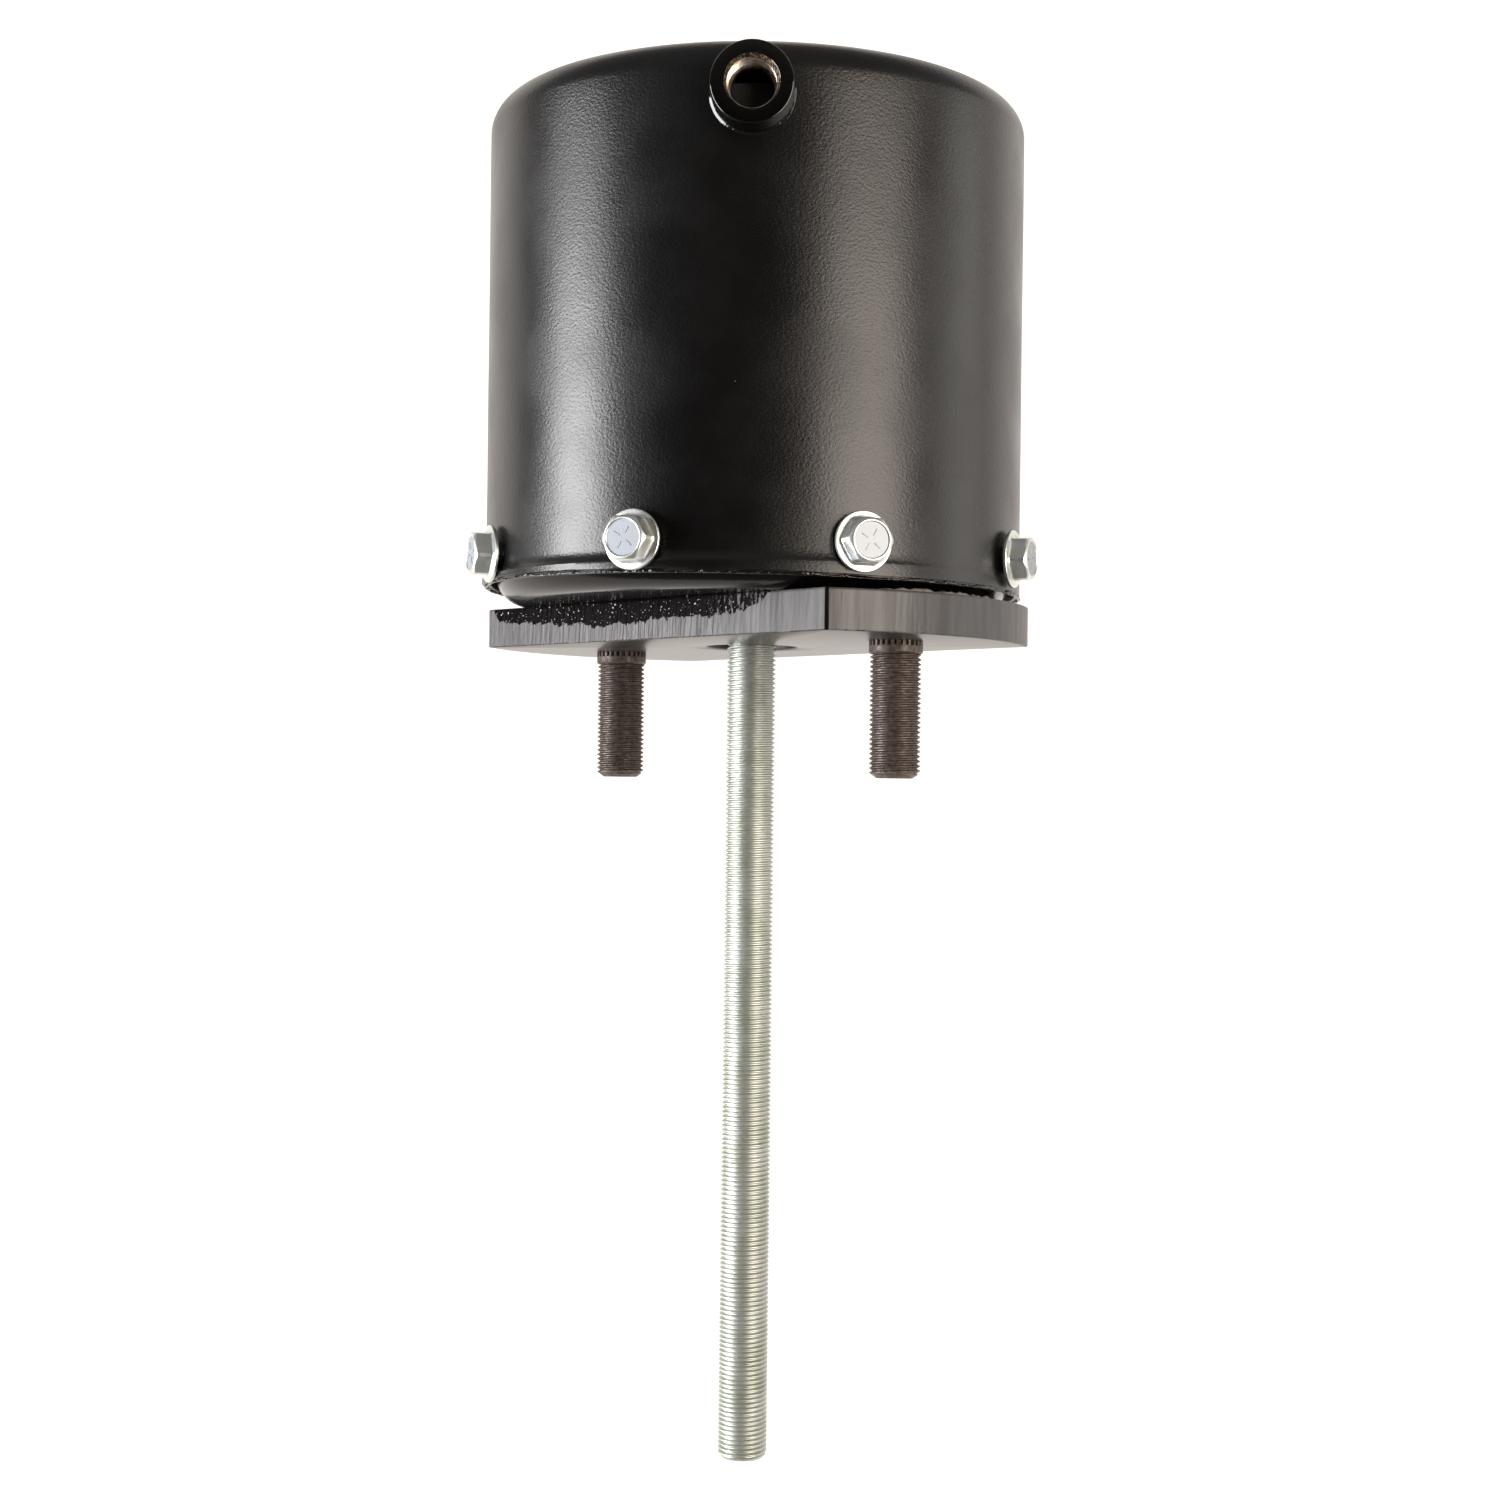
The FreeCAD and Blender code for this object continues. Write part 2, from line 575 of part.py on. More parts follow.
def piston():
    body = newBody("piston", pistonBase)
    ball = "(%s - ballDrop)" % hubHeight
    face = "%s - capSeat" % ball
    recess = "%s + capRoom" % capRadius
    collarFoot = "%s - collarDepth" % webUnder
    skirtInner = "%s - pistonWall" % pistonRadius
    points = [("0", "%s + %s" % (ball, socketRadius)), (socketRadius, ball),
              (socketRadius, face), (recess, face), (recess, collarFoot),
              (springGuide, collarFoot), (springGuide, webUnder), (skirtInner, webUnder),
              (skirtInner, "0"), (pistonRadius, "0")]
    points += groove("guideBase", "guideHeight", "guideDepth")
    points += groove("feltBase", "feltHeight", "feltDepth")
    points += [(pistonRadius, "pistonHeight"), ("hubRadius", "pistonHeight"),
               ("hubTop", "%s - padRise" % hubHeight), ("padRadius", hubHeight),
               ("0", hubHeight)]
    revolve(body, "Casting", points, arcs=(0,))
    ribSketch = newSketch(body, "RibSketch", "XZ_Plane")
    turnSketch(ribSketch, "180 / ribCount")
    ribEnd = "%s + ribBite" % skirtInner
    outline(ribSketch, [("ribStart", webUnder), ("ribStart", "%s - ribNose" % webUnder),
                        (ribEnd, "%s - ribDepth" % webUnder), (ribEnd, webUnder)])
    rib = extrude(body, "Rib", ribSketch, "ribThick", midplane=True)
    polar(body, "Ribs", [rib], "ribCount")
    holesRound(body, "FollowerHoles", "screwCircle", "screwRadius + pressGap",
               "webThick", "screwCount", webUnder, reversed=True)
    holesRound(body, "CapHoles", capCircle, "screwRadius + pressGap",
               "capScrewLength - (capBottom - capSeat) + tapExtra", "capScrews", face,
               reversed=True)
    return body


def splitRing(label, base, height, depth, split):
    body = newBody(label, "%s + %s + ringGap" % (pistonBase, base))
    inside = "%s - %s + ringGap" % (pistonRadius, depth)
    tall = "%s - 2 * ringGap" % height
    revolve(body, "Ring", [(inside, "0"), (sealRadius, "0"), (sealRadius, tall), (inside, tall)])
    if split:
        sketch = newSketch(body, "SplitSketch", "XZ_Plane")
        start = "%s - overcut" % inside
        end = "%s + overcut" % sealRadius
        low = "-1 * overcut"
        high = "%s + overcut" % height
        outline(sketch, [(start, low), (end, low), (end, high), (start, high)])
        extrude(body, "Split", sketch, split, cut=True, midplane=True)
    return body


def cupSeal():
    body = newBody("cup_seal", pistonTop)
    lipRoot = "%s - cupRoot" % sealRadius
    points = [("cupHole", "0"), ("%s - cupLip / 2" % sealRadius, "0"), (sealRadius, "cupBase"),
              (sealRadius, "cupHeight"), ("%s - cupLip" % sealRadius, "cupHeight"),
              (lipRoot, "cupRootHeight"), ("%s - cupLip" % lipRoot, "cupBase"),
              ("cupHole", "cupBase")]
    revolve(body, "Cup", points)
    holesRound(body, "CupHoles", "screwCircle", "screwRadius + screwRoom", "cupBase",
               "screwCount", reversed=True)
    return body


def cupExpander():
    body = newBody("cup_expander", "%s + cupBase" % pistonTop)
    rootRadius = "(%s - fingerRoot)" % sealRadius
    tipRadius = "(%s - fingerTip)" % sealRadius
    points = [("cupHole", "0"), (rootRadius, "0"), (tipRadius, "expanderRise"),
              ("%s - expanderThick" % tipRadius, "expanderRise"),
              ("%s - expanderThick" % rootRadius, "expanderThick"), ("cupHole", "expanderThick")]
    revolve(body, "Expander", points)
    slot = newSketch(body, "SlotSketch", "XZ_Plane")
    slotStart = "%s - 2 * expanderThick" % rootRadius
    outline(slot, [(slotStart, "2 * expanderThick"), (sealRadius, "2 * expanderThick"),
                   (sealRadius, "expanderRise + overcut"),
                   (slotStart, "expanderRise + overcut")])
    cut = extrude(body, "Slot", slot, "fingerSlot", cut=True, midplane=True)
    polar(body, "Fingers", [cut], "fingerCount")
    holesRound(body, "ExpanderHoles", "screwCircle", "screwRadius + screwRoom",
               "expanderThick", "screwCount", reversed=True)
    return body


def cupFollower():
    body = newBody("cup_follower", "%s + %s" % (pistonTop, expanderTop))
    points = [("hubRadius + followerGap", "0"), (followerRadius, "0"),
              (followerRadius, "followerThick - followerBevel"),
              ("%s - followerBevel" % followerRadius, "followerThick"),
              ("hubRadius + followerGap", "followerThick")]
    revolve(body, "Plate", points)
    holesRound(body, "FollowerHoles", "screwCircle", "screwRadius + screwRoom",
               "followerThick", "screwCount", reversed=True)
    return body


def followerScrews():
    body = newBody("follower_screws", "%s + %s" % (pistonTop, followerTop))
    shankSketch = newSketch(body, "ShankSketch", "XY_Plane")
    ring(shankSketch, "screwCircle", "0", "screwRadius")
    shank = extrude(body, "Shank", shankSketch, "screwLength", reversed=True)
    headSketch = newSketch(body, "HeadSketch", "XY_Plane")
    outline(headSketch, hexagon("screwCircle", "0", "screwFlats"))
    head = extrude(body, "Head", headSketch, "screwHead")
    polar(body, "Screws", [shank, head], "screwCount")
    return body


def socketCap():
    body = newBody("socket_cap", ballHeight)
    seatEdge = "sqrt(%s^2 - capSeat^2)" % socketRadius
    mouthEdge = "sqrt(%s^2 - capMouth^2)" % socketRadius
    points = [(seatEdge, "-1 * capSeat"), (mouthEdge, "-1 * capMouth"),
              ("%s + (capBottom - capMouth) / 2" % mouthEdge, "-1 * capBottom"),
              (capRadius, "-1 * capBottom"), (capRadius, "-1 * capSeat")]
    revolve(body, "Cap", points, arcs=(0,))
    holesRound(body, "CapHoles", capCircle, "screwRadius + screwRoom",
               "capBottom - capSeat", "capScrews", "-1 * capBottom", reversed=True)
    return body


def capScrews():
    body = newBody("cap_screws", "%s - capBottom" % ballHeight)
    shankSketch = newSketch(body, "ShankSketch", "XY_Plane")
    ring(shankSketch, capCircle, "0", "screwRadius")
    shank = extrude(body, "Shank", shankSketch, "capScrewLength")
    headSketch = newSketch(body, "HeadSketch", "XY_Plane")
    ring(headSketch, capCircle, "0", "capScrewHead")
    head = extrude(body, "Head", headSketch, "capHeadHeight", reversed=True)
    polar(body, "Screws", [shank, head], "capScrews")
    return body


# Ball joint and push rod

def ballLiner():
    body = newBody("ball_liner", ballHeight)
    mouth = "-1 * linerMouth"
    points = [("linerHole", "sqrt(%s^2 - linerHole^2)" % linerInner),
              ("sqrt(%s^2 - linerMouth^2)" % linerInner, mouth),
              ("sqrt(%s^2 - linerMouth^2)" % linerOuter, mouth),
              ("linerHole", "sqrt(%s^2 - linerHole^2)" % linerOuter)]
    revolve(body, "Liner", points, arcs=(0, 2))
    return body


def rodBall():
    body = newBody("rod_ball", ballHeight)
    bore = "tenonRadius + pressGap"
    points = [(bore, "-1 * shankTop"), ("sqrt(ballRadius^2 - shankTop^2)", "-1 * shankTop"),
              ("sqrt(ballRadius^2 - tenonTop^2)", "tenonTop"), (bore, "tenonTop")]
    revolve(body, "Ball", points, arcs=(1,))
    crossHole(body, "0")
    return body


def crossHole(body, height):
    sketch = newSketch(body, "PinHoleSketch", "YZ_Plane")
    ring(sketch, "0", height, "pinRadius + pressGap")
    extrude(body, "PinHole", sketch, "2 * ballRadius", cut=True, midplane=True)


def rodPin():
    pin = doc.addObject("Part::Cylinder", "rod_pin")
    pin.Label = "rod_pin"
    pin.setExpression("Radius", bound("pinRadius"))
    pin.setExpression("Height", bound("pinLength"))
    pin.Placement.Rotation = Rotation(Vector(0, 1, 0), 90)
    pin.setExpression("Placement.Base.x", bound("pinLength / -2"))
    pin.setExpression("Placement.Base.z", bound(ballHeight))
    return pin


def pushRod():
    body = newBody("push_rod", "-1 * rodDrop")
    thread = "(rodDrop - threadStop)"
    ball = "(rodDrop + %s)" % ballHeight
    shoulder = "%s - shankTop" % ball
    top = "%s + tenonTop" % ball
    points = [("0", "0"), ("rodRadius - rodChamfer", "0"), ("rodRadius", "rodChamfer"),
              ("rodRadius", thread), ("rodShank", "%s + (rodRadius - rodShank)" % thread),
              ("rodShank", shoulder), ("tenonRadius", shoulder), ("tenonRadius", top),
              ("0", top)]
    revolve(body, "Rod", points)
    crossHole(body, ball)
    return body


envelope = canEnvelope()
parts = [
    pressureCan(), inletPort(envelope), mountingPlate(), lowerHead(),
    mountingStud("stud_left", -1), mountingStud("stud_right", 1), caseBolts(), weldNuts(),
    springSeat(), returnSpring(), piston(),
    splitRing("guide_ring", "guideBase", "guideHeight", "guideDepth", "ringSplit"),
    splitRing("felt_ring", "feltBase", "feltHeight", "feltDepth", None),
    cupSeal(), cupExpander(), cupFollower(), followerScrews(), socketCap(), capScrews(),
    ballLiner(), rodBall(), rodPin(), pushRod(),
]
doc.recompute()

faults = [item.Name for item in doc.Objects
          if "Invalid" in item.State or "Error" in item.State]
for item in parts:
    if item.Shape.isNull() or not item.Shape.isValid():
        faults.append(item.Label + " has a bad shape")
if faults:
    raise RuntimeError("not built: " + ", ".join(faults))

os.makedirs("parts", exist_ok=True)
for item in parts:
    item.Shape.exportStep("parts/%s.step" % item.Label)
    box = item.Shape.BoundBox
    print("%-16s solids %d  z %.2f to %.2f  volume %.0f" % (
        item.Label, len(item.Shape.Solids), box.ZMin, box.ZMax, item.Shape.Volume))
print("stroke %.1f, ball centre at %.2f" % (value("stroke"), value(ballHeight)))
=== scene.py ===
import math

import bmesh
import bpy
import numpy as np
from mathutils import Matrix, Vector, noise


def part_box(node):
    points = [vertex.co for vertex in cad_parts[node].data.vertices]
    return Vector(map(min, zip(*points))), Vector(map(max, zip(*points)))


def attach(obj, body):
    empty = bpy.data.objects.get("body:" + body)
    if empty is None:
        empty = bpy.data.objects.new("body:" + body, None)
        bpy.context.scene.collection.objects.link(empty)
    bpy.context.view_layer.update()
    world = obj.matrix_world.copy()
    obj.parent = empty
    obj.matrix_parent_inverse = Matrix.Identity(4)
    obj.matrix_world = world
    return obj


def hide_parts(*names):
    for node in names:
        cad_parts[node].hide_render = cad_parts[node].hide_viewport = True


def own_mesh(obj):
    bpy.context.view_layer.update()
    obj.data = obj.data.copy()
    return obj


# Dresses the brake chamber's CAD frame. Blender works in metres; the size dictionaries hold
# millimetres and degrees. The can's axis is Z, the plate's underside is z = 0 and the inlet
# port faces -Y. Unless a note says otherwise, a turn is counted from -Y towards +X.

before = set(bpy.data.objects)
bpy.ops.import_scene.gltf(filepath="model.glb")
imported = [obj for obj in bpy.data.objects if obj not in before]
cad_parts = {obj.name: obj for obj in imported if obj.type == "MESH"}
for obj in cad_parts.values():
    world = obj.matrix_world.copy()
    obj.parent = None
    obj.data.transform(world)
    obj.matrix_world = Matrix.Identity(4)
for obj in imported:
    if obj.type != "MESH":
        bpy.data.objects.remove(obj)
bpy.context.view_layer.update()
mm = 0.001
print("frame loaded:", len(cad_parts), "nodes")


# Node helpers

def addNode(tree, kind, inputs=None, **settings):
    node = tree.nodes.new(kind)
    for name, setting in settings.items():
        setattr(node, name, setting)
    for key, item in (inputs or {}).items():
        if isinstance(item, bpy.types.NodeSocket):
            tree.links.new(item, node.inputs[key])
        else:
            node.inputs[key].default_value = item
    return node


def calc(tree, operation, *terms):
    return addNode(tree, "ShaderNodeMath", dict(enumerate(terms)), operation=operation).outputs[0]


def vectorOf(tree, **parts):
    return addNode(tree, "ShaderNodeCombineXYZ", parts).outputs[0]


def partsOf(tree, vector):
    return addNode(tree, "ShaderNodeSeparateXYZ", {0: vector}).outputs


def newTree(name, sockets):
    tree = bpy.data.node_groups.new(name, "GeometryNodeTree")
    tree.interface.new_socket("Geometry", in_out="OUTPUT", socket_type="NodeSocketGeometry")
    for label, kind in sockets.items():
        tree.interface.new_socket(label, in_out="INPUT", socket_type="NodeSocket" + kind)
    return tree, tree.nodes.new("NodeGroupInput").outputs


def closeTree(tree, geometry, material=None):
    closed = addNode(tree, "GeometryNodeRealizeInstances", {0: geometry})
    if material:
        closed = addNode(tree, "GeometryNodeSetMaterial", {
            0: closed.outputs[0], "Material": material})
    tree.links.new(closed.outputs[0], tree.nodes.new("NodeGroupOutput").inputs[0])


# Grows a mesh from a tree and its named inputs, and keeps it as a plain mesh
def grow(name, tree, values, sharp=50):
    piece = bpy.data.objects.new(name, bpy.data.meshes.new(name))
    bpy.context.scene.collection.objects.link(piece)
    modifier = piece.modifiers.new("shape", "NODES")
    modifier.node_group = tree
    for item in tree.interface.items_tree:
        if item.in_out == "INPUT":
            modifier[item.identifier] = values[item.name]
    grown = piece.evaluated_get(bpy.context.evaluated_depsgraph_get())
    mesh = bpy.data.meshes.new_from_object(grown)
    piece.modifiers.clear()
    piece.data = mesh
    mesh.shade_smooth()
    mesh.set_sharp_from_angle(angle=math.radians(sharp))
    return piece


# Mesh helpers

def newPiece(name, points, faces, materials, sharp=40, faceMaterials=None):
    mesh = bpy.data.meshes.new(name)
    mesh.from_pydata([tuple(point) for point in points], [], faces)
    for material in materials:
        mesh.materials.append(material)
    if faceMaterials is not None:
        mesh.polygons.foreach_set("material_index", faceMaterials)
    edit = bmesh.new()
    edit.from_mesh(mesh)
    bmesh.ops.remove_doubles(edit, verts=edit.verts, dist=2e-6)
    bmesh.ops.recalc_face_normals(edit, faces=edit.faces)
    edit.to_mesh(mesh)
    edit.free()
    mesh.shade_smooth()
    mesh.set_sharp_from_angle(angle=math.radians(sharp))
    piece = bpy.data.objects.new(name, mesh)
    bpy.context.scene.collection.objects.link(piece)
    return piece


def joinPieces(pieces):
    with bpy.context.temp_override(active_object=pieces[0], selected_editable_objects=pieces):
        bpy.ops.object.join()
    return pieces[0]


def bandFaces(rows, steps, closed=False):
    return [(row * steps + step, row * steps + (step + 1) % steps,
             (row + 1) % rows * steps + (step + 1) % steps, (row + 1) % rows * steps + step)
            for row in range(rows if closed else rows - 1) for step in range(steps)]


# Spins an outline of (radius, height) round Z. wobble changes radii and heights by direction
def spin(profile, steps, wobble=None):
    turn = np.linspace(0, 2 * math.pi, steps, endpoint=False)
    rings = []
    for radius, height in profile:
        radii, heights = np.full(steps, float(radius)), np.full(steps, float(height))
        if wobble:
            radii, heights = wobble(radii, heights, turn)
        rings.append(np.stack([radii * np.cos(turn), radii * np.sin(turn), heights], 1))
    return np.concatenate(rings) * mm


def lathe(name, profile, material, steps, sharp=40, wobble=None, closed=False):
    points = spin(profile, steps, wobble)
    return newPiece(name, points, bandFaces(len(profile), steps, closed), [material], sharp)


def arc(centre, radius, start, end, count):
    angles = np.radians(np.linspace(start, end, count + 1))
    return [(centre[0] + radius * math.cos(a), centre[1] + radius * math.sin(a)) for a in angles]


# Points added along straight stretches, so that a profile can be dented
def dense(profile, step):
    points = [profile[0]]
    for (r0, z0), (r1, z1) in zip(profile, profile[1:]):
        count = max(1, round(math.hypot(r1 - r0, z1 - z0) / step))
        points += [(r0 + (r1 - r0) * i / count, z0 + (z1 - z0) * i / count)
                   for i in range(1, count + 1)]
    return points


def ripple(x, y, z, size, seed):
    return noise.noise(Vector((x / size + seed, y / size, z / size)))


# Moves points that were made along +Z so that they stand along the port, towards -Y
def alongPort(piece, height):
    for vertex in piece.data.vertices:
        x, y, z = vertex.co
        vertex.co = (x, -z, y + height * mm)
    return piece


# Material helpers

def metres(lengths):
    return [length * mm for length in lengths]


def newFinish(name, color, roughness, metallic=0.0, **sockets):
    material = bpy.data.materials.new(name)
    material.use_nodes = True
    shader = material.node_tree.nodes["Principled BSDF"]
    settings = {"Base Color": (*color, 1), "Roughness": roughness, "Metallic": metallic, **sockets}
    for label, setting in settings.items():
        shader.inputs[label].default_value = setting
    return material, material.node_tree, shader


def objectSpot(tree, stretch=(1, 1, 1)):
    spot = addNode(tree, "ShaderNodeTexCoord").outputs["Object"]
    return addNode(tree, "ShaderNodeMapping", {"Vector": spot, "Scale": stretch}).outputs[0]


def cloud(tree, scale, detail=3.0, stretch=(1, 1, 1)):
    return addNode(tree, "ShaderNodeTexNoise", {
        "Vector": objectSpot(tree, stretch), "Scale": scale, "Detail": detail}).outputs["Fac"]


# A small round nib in each cell of a coarse pattern
def nibs(tree, scale, radius):
    cells = addNode(tree, "ShaderNodeTexVoronoi", {"Vector": objectSpot(tree), "Scale": scale})
    return between(tree, cells.outputs["Distance"], radius * mm * scale, 0)


def between(tree, value, low, high, start=0.0, end=1.0):
    return addNode(tree, "ShaderNodeMapRange", {
        "Value": value, "From Min": low, "From Max": high, "To Min": start, "To Max": end},
        interpolation_type="SMOOTHSTEP").outputs[0]


def blend(tree, share, first, second):
    mix = addNode(tree, "ShaderNodeMix", data_type="RGBA")
    for socket, item in ((mix.inputs[0], share), (mix.inputs[6], first), (mix.inputs[7], second)):
        if isinstance(item, bpy.types.NodeSocket):
            tree.links.new(item, socket)
        else:
            socket.default_value = item if isinstance(item, float) else (*item, 1)
    return mix.outputs[2]


def colored(tree, shader, share, first, second):
    color = blend(tree, share, first, second)
    tree.links.new(color, shader.inputs["Base Color"])
    return color


def roughened(tree, shader, value, low, high, smooth, rough):
    tree.links.new(between(tree, value, low, high, smooth, rough), shader.inputs["Roughness"])


def bumped(tree, shader, height, distance, strength=1.0):
    bump = addNode(tree, "ShaderNodeBump", {"Height": height, "Distance": distance * mm,
                                            "Strength": strength})
    if shader.inputs["Normal"].links:
        tree.links.new(shader.inputs["Normal"].links[0].from_socket, bump.inputs["Normal"])
    tree.links.new(bump.outputs[0], shader.inputs["Normal"])


# Finishes. Pattern scales count cells to the metre, and bump heights are in mm

def satinBlack():
    material, tree, shader = newFinish("satinBlack", (0.001, 0.0008, 0.0007), 0.32)
    bumped(tree, shader, cloud(tree, 1100, detail=2.0, stretch=(1, 1, 1.2)), 0.078)
    bumped(tree, shader, cloud(tree, 110, detail=2.0), 0.1, 0.2)
    bumped(tree, shader, nibs(tree, 75, 0.35), 0.12)
    roughened(tree, shader, cloud(tree, 40), 0.35, 0.7, 0.29, 0.36)
    return material


def glossBlack():
    material, tree, shader = newFinish("glossBlack", (0.002, 0.0018, 0.0016), 0.17,
                                       **{"Specular IOR Level": 0.33})
    bumped(tree, shader, cloud(tree, 500, detail=2.0), 0.04)
    bumped(tree, shader, nibs(tree, 160, 0.4), 0.15)
    return material


def portBlack():
    material, tree, shader = newFinish("portBlack", (0.002, 0.0018, 0.0016), 0.1)
    bumped(tree, shader, cloud(tree, 700, detail=1.0), 0.04)
    bumped(tree, shader, nibs(tree, 150, 0.3), 0.12)
    return material


# Bare steel of the port: bright in the thread, browned at the mouth and dark in its lower half,
# which is partly black paint run in and partly painted shade, where it faces up to the dark ceiling
def bareThread():
    material, tree, shader = newFinish("bareThread", (0.6, 0.54, 0.46), 0.3, 0.95)
    colored(tree, shader, between(tree, cloud(tree, 500), 0.35, 0.7),
            (0.66, 0.61, 0.54), (0.36, 0.26, 0.16))
    return material


def brownMouth():
    material, tree, shader = newFinish("brownMouth", (0.2, 0.14, 0.09), 0.4, 0.8)
    height = partsOf(tree, objectSpot(tree))["Z"]
    # the mouth is dark below the port's middle, partly black paint and partly painted shade, and
    # brown-spotted above
    lit = between(tree, height, *metres((151, 157)))
    spotted = blend(tree, between(tree, cloud(tree, 1400, detail=4.0), 0.45, 0.62),
                    (0.05, 0.037, 0.028), (0.5, 0.38, 0.25))
    colored(tree, shader, lit, (0.01, 0.008, 0.007), spotted)
    bumped(tree, shader, cloud(tree, 1600, detail=3.0), 0.12)
    return material


# Torch-cut side of the plate: dull streaky paint, with thick gloss paint run down from above, its
# glints painted in as light specks.
# Places along the flat side are counted from its middle towards the right
cutLooks = {
    "ragged": 5, "fade": (-0.2, 0.3),  # how far the thick paint's border strays, and how it fades
    "thinFrom": -8, "thinTo": 72, "thinning": 0.42,  # the paint gets patchier to the right
    # the light specks in the thick paint are painted highlights, standing in for its glints
    "patches": (0.1, 0.22), "paintedGlints": (0.68, 0.74),
    "face": (-1.2, -0.8), "corner": (76.1, 76.3),  # the face's reach inwards, and its painted end
    "bare": ((0.008, 0.007, 0.007), (0.035, 0.033, 0.033)), "paint": (0.004, 0.0035, 0.0035),
    "paintedGlintColor": (0.5, 0.48, 0.46), "roughness": (0.42, 0.25), "streaks": (0.8, 1.13),
    "shine": 0.66, "faceShine": (-0.25, -0.31), "shineTo": 60, "paintShine": 0.008,
}


def cutSteel(plate):
    c = cutLooks
    material, tree, shader = newFinish("cutSteel", (0.1, 0.095, 0.095), 0.42, 0.0)
    spot = objectSpot(tree)
    height = partsOf(tree, spot)["Z"]
    turn = math.radians(plate["flatTurn"])

    def reach(x, y):
        return addNode(tree, "ShaderNodeVectorMath", {0: spot, 1: (x, y, 0)},
                       operation="DOT_PRODUCT").outputs["Value"]

    along = reach(math.cos(turn), -math.sin(turn))
    front = reach(-math.sin(turn), -math.cos(turn))
    runs = addNode(tree, "ShaderNodeValToRGB", {
        "Fac": between(tree, along, *metres((plate["runStart"], plate["runEnd"])))})
    runs.color_ramp.interpolation = "EASE"
    runs.color_ramp.elements[1].color = (0, 0, 0, 1)
    for place, share in plate["runDepths"]:
        stop = runs.color_ramp.elements.new(place)
        stop.color = (share, share, share, 1)
    depth = calc(tree, "MULTIPLY", runs.outputs["Color"], plate["thick"] * mm)
    stray = calc(tree, "SUBTRACT", cloud(tree, 420, detail=4.0), 0.5)
    ragged = calc(tree, "MULTIPLY", stray, c["ragged"] * mm)
    border = calc(tree, "ADD", calc(tree, "SUBTRACT", plate["thick"] * mm, depth), ragged)
    covered = between(tree, calc(tree, "SUBTRACT", height, border), *metres(c["fade"]))
    onFace = between(tree, front, *metres(plate["flat"] + inset for inset in c["face"]))
    thinning = between(tree, along, *metres((c["thinFrom"], c["thinTo"])), 0.0, c["thinning"])
    patches = calc(tree, "SUBTRACT", cloud(tree, 900, detail=3.0, stretch=(1, 1, 0.4)), thinning)
    covered = calc(tree, "MULTIPLY", covered, between(tree, patches, *c["patches"]))
    covered = calc(tree, "MULTIPLY", covered, onFace)
    # painted highlights: light specks in the thick paint's colour stand in for its glossy glints
    paintedGlints = between(tree, cloud(tree, 1250, detail=1.0), *c["paintedGlints"])
    paintedGlints = calc(tree, "MULTIPLY", covered, paintedGlints)
    corner = calc(tree, "MULTIPLY", onFace, between(tree, along, *metres(c["corner"])))
    covered = calc(tree, "MAXIMUM", covered, corner)
    bare = blend(tree, cloud(tree, 260, stretch=(1, 1, 0.15), detail=5.0), *c["bare"])
    painted = blend(tree, covered, bare, c["paint"])
    colored(tree, shader, paintedGlints, painted, c["paintedGlintColor"])
    roughened(tree, shader, covered, 0.0, 1.0, *c["roughness"])
    streaks = cloud(tree, 300, stretch=(1, 1, 0.08), detail=5.0)
    streaks = between(tree, streaks, 0.3, 0.7, *c["streaks"])
    faceShine = between(tree, along, 0.0, c["shineTo"] * mm, *c["faceShine"])
    bareShine = calc(tree, "MULTIPLY_ADD", onFace, faceShine, c["shine"])
    bareShine = calc(tree, "MULTIPLY", streaks, bareShine)
    shine = between(tree, covered, 0.0, 1.0, bareShine, c["paintShine"])
    tree.links.new(shine, shader.inputs["Specular IOR Level"])
    grooves = cloud(tree, 700, stretch=(1, 1, 0.06), detail=4.0)
    scale = calc(tree, "MULTIPLY", onFace, cloud(tree, 480, stretch=(1, 1, 0.4)))
    lumps = calc(tree, "MULTIPLY", covered, cloud(tree, 420, detail=2.0))
    bumped(tree, shader, grooves, 0.09, 0.8)
    bumped(tree, shader, scale, 0.12, 0.7)
    bumped(tree, shader, lumps, 0.16)
    return material


# Underside and top of the plate: thin black paint, glossy below and duller above
def plateFace(name, roughness):
    material, tree, shader = newFinish(name, (0.018, 0.016, 0.015), roughness)
    bumped(tree, shader, cloud(tree, 60, detail=3.0), 0.12, 0.25)
    bumped(tree, shader, nibs(tree, 110, 0.3), 0.08)
    return material


def phosphate():
    material, tree, shader = newFinish("phosphate", (0.07, 0.055, 0.048), 0.42, 0.35)
    colored(tree, shader, between(tree, cloud(tree, 700, detail=4.0), 0.4, 0.65),
            (0.058, 0.043, 0.035), (0.105, 0.083, 0.07))
    roughened(tree, shader, cloud(tree, 500), 0.35, 0.65, 0.34, 0.6)
    bumped(tree, shader, cloud(tree, 1800, detail=3.0), 0.08, 0.7)
    return material


def zincRod():
    material, tree, shader = newFinish("zincRod", (0.68, 0.7, 0.64), 0.48, 0.9)
    colored(tree, shader, between(tree, cloud(tree, 120, detail=4.0), 0.35, 0.65),
            (0.5, 0.52, 0.49), (0.43, 0.455, 0.4))
    bumped(tree, shader, cloud(tree, 1500, detail=2.0), 0.03, 0.4)
    return material


def zincBolt():
    material, tree, shader = newFinish("zincBolt", (0.66, 0.69, 0.69), 0.38, 0.92)
    colored(tree, shader, between(tree, cloud(tree, 190, detail=3.0), 0.35, 0.65),
            (0.68, 0.72, 0.73), (0.6, 0.62, 0.57))
    bumped(tree, shader, cloud(tree, 900, detail=3.0), 0.04, 0.4)
    roughened(tree, shader, cloud(tree, 400), 0.35, 0.65, 0.33, 0.42)
    return material


# The pressed recess in a bolt's head, duller and darker than the rest
def zincRecess():
    material, tree, shader = newFinish("zincRecess", (0.32, 0.345, 0.37), 0.52, 0.8)
    bumped(tree, shader, cloud(tree, 1100, detail=2.0), 0.03, 0.4)
    return material


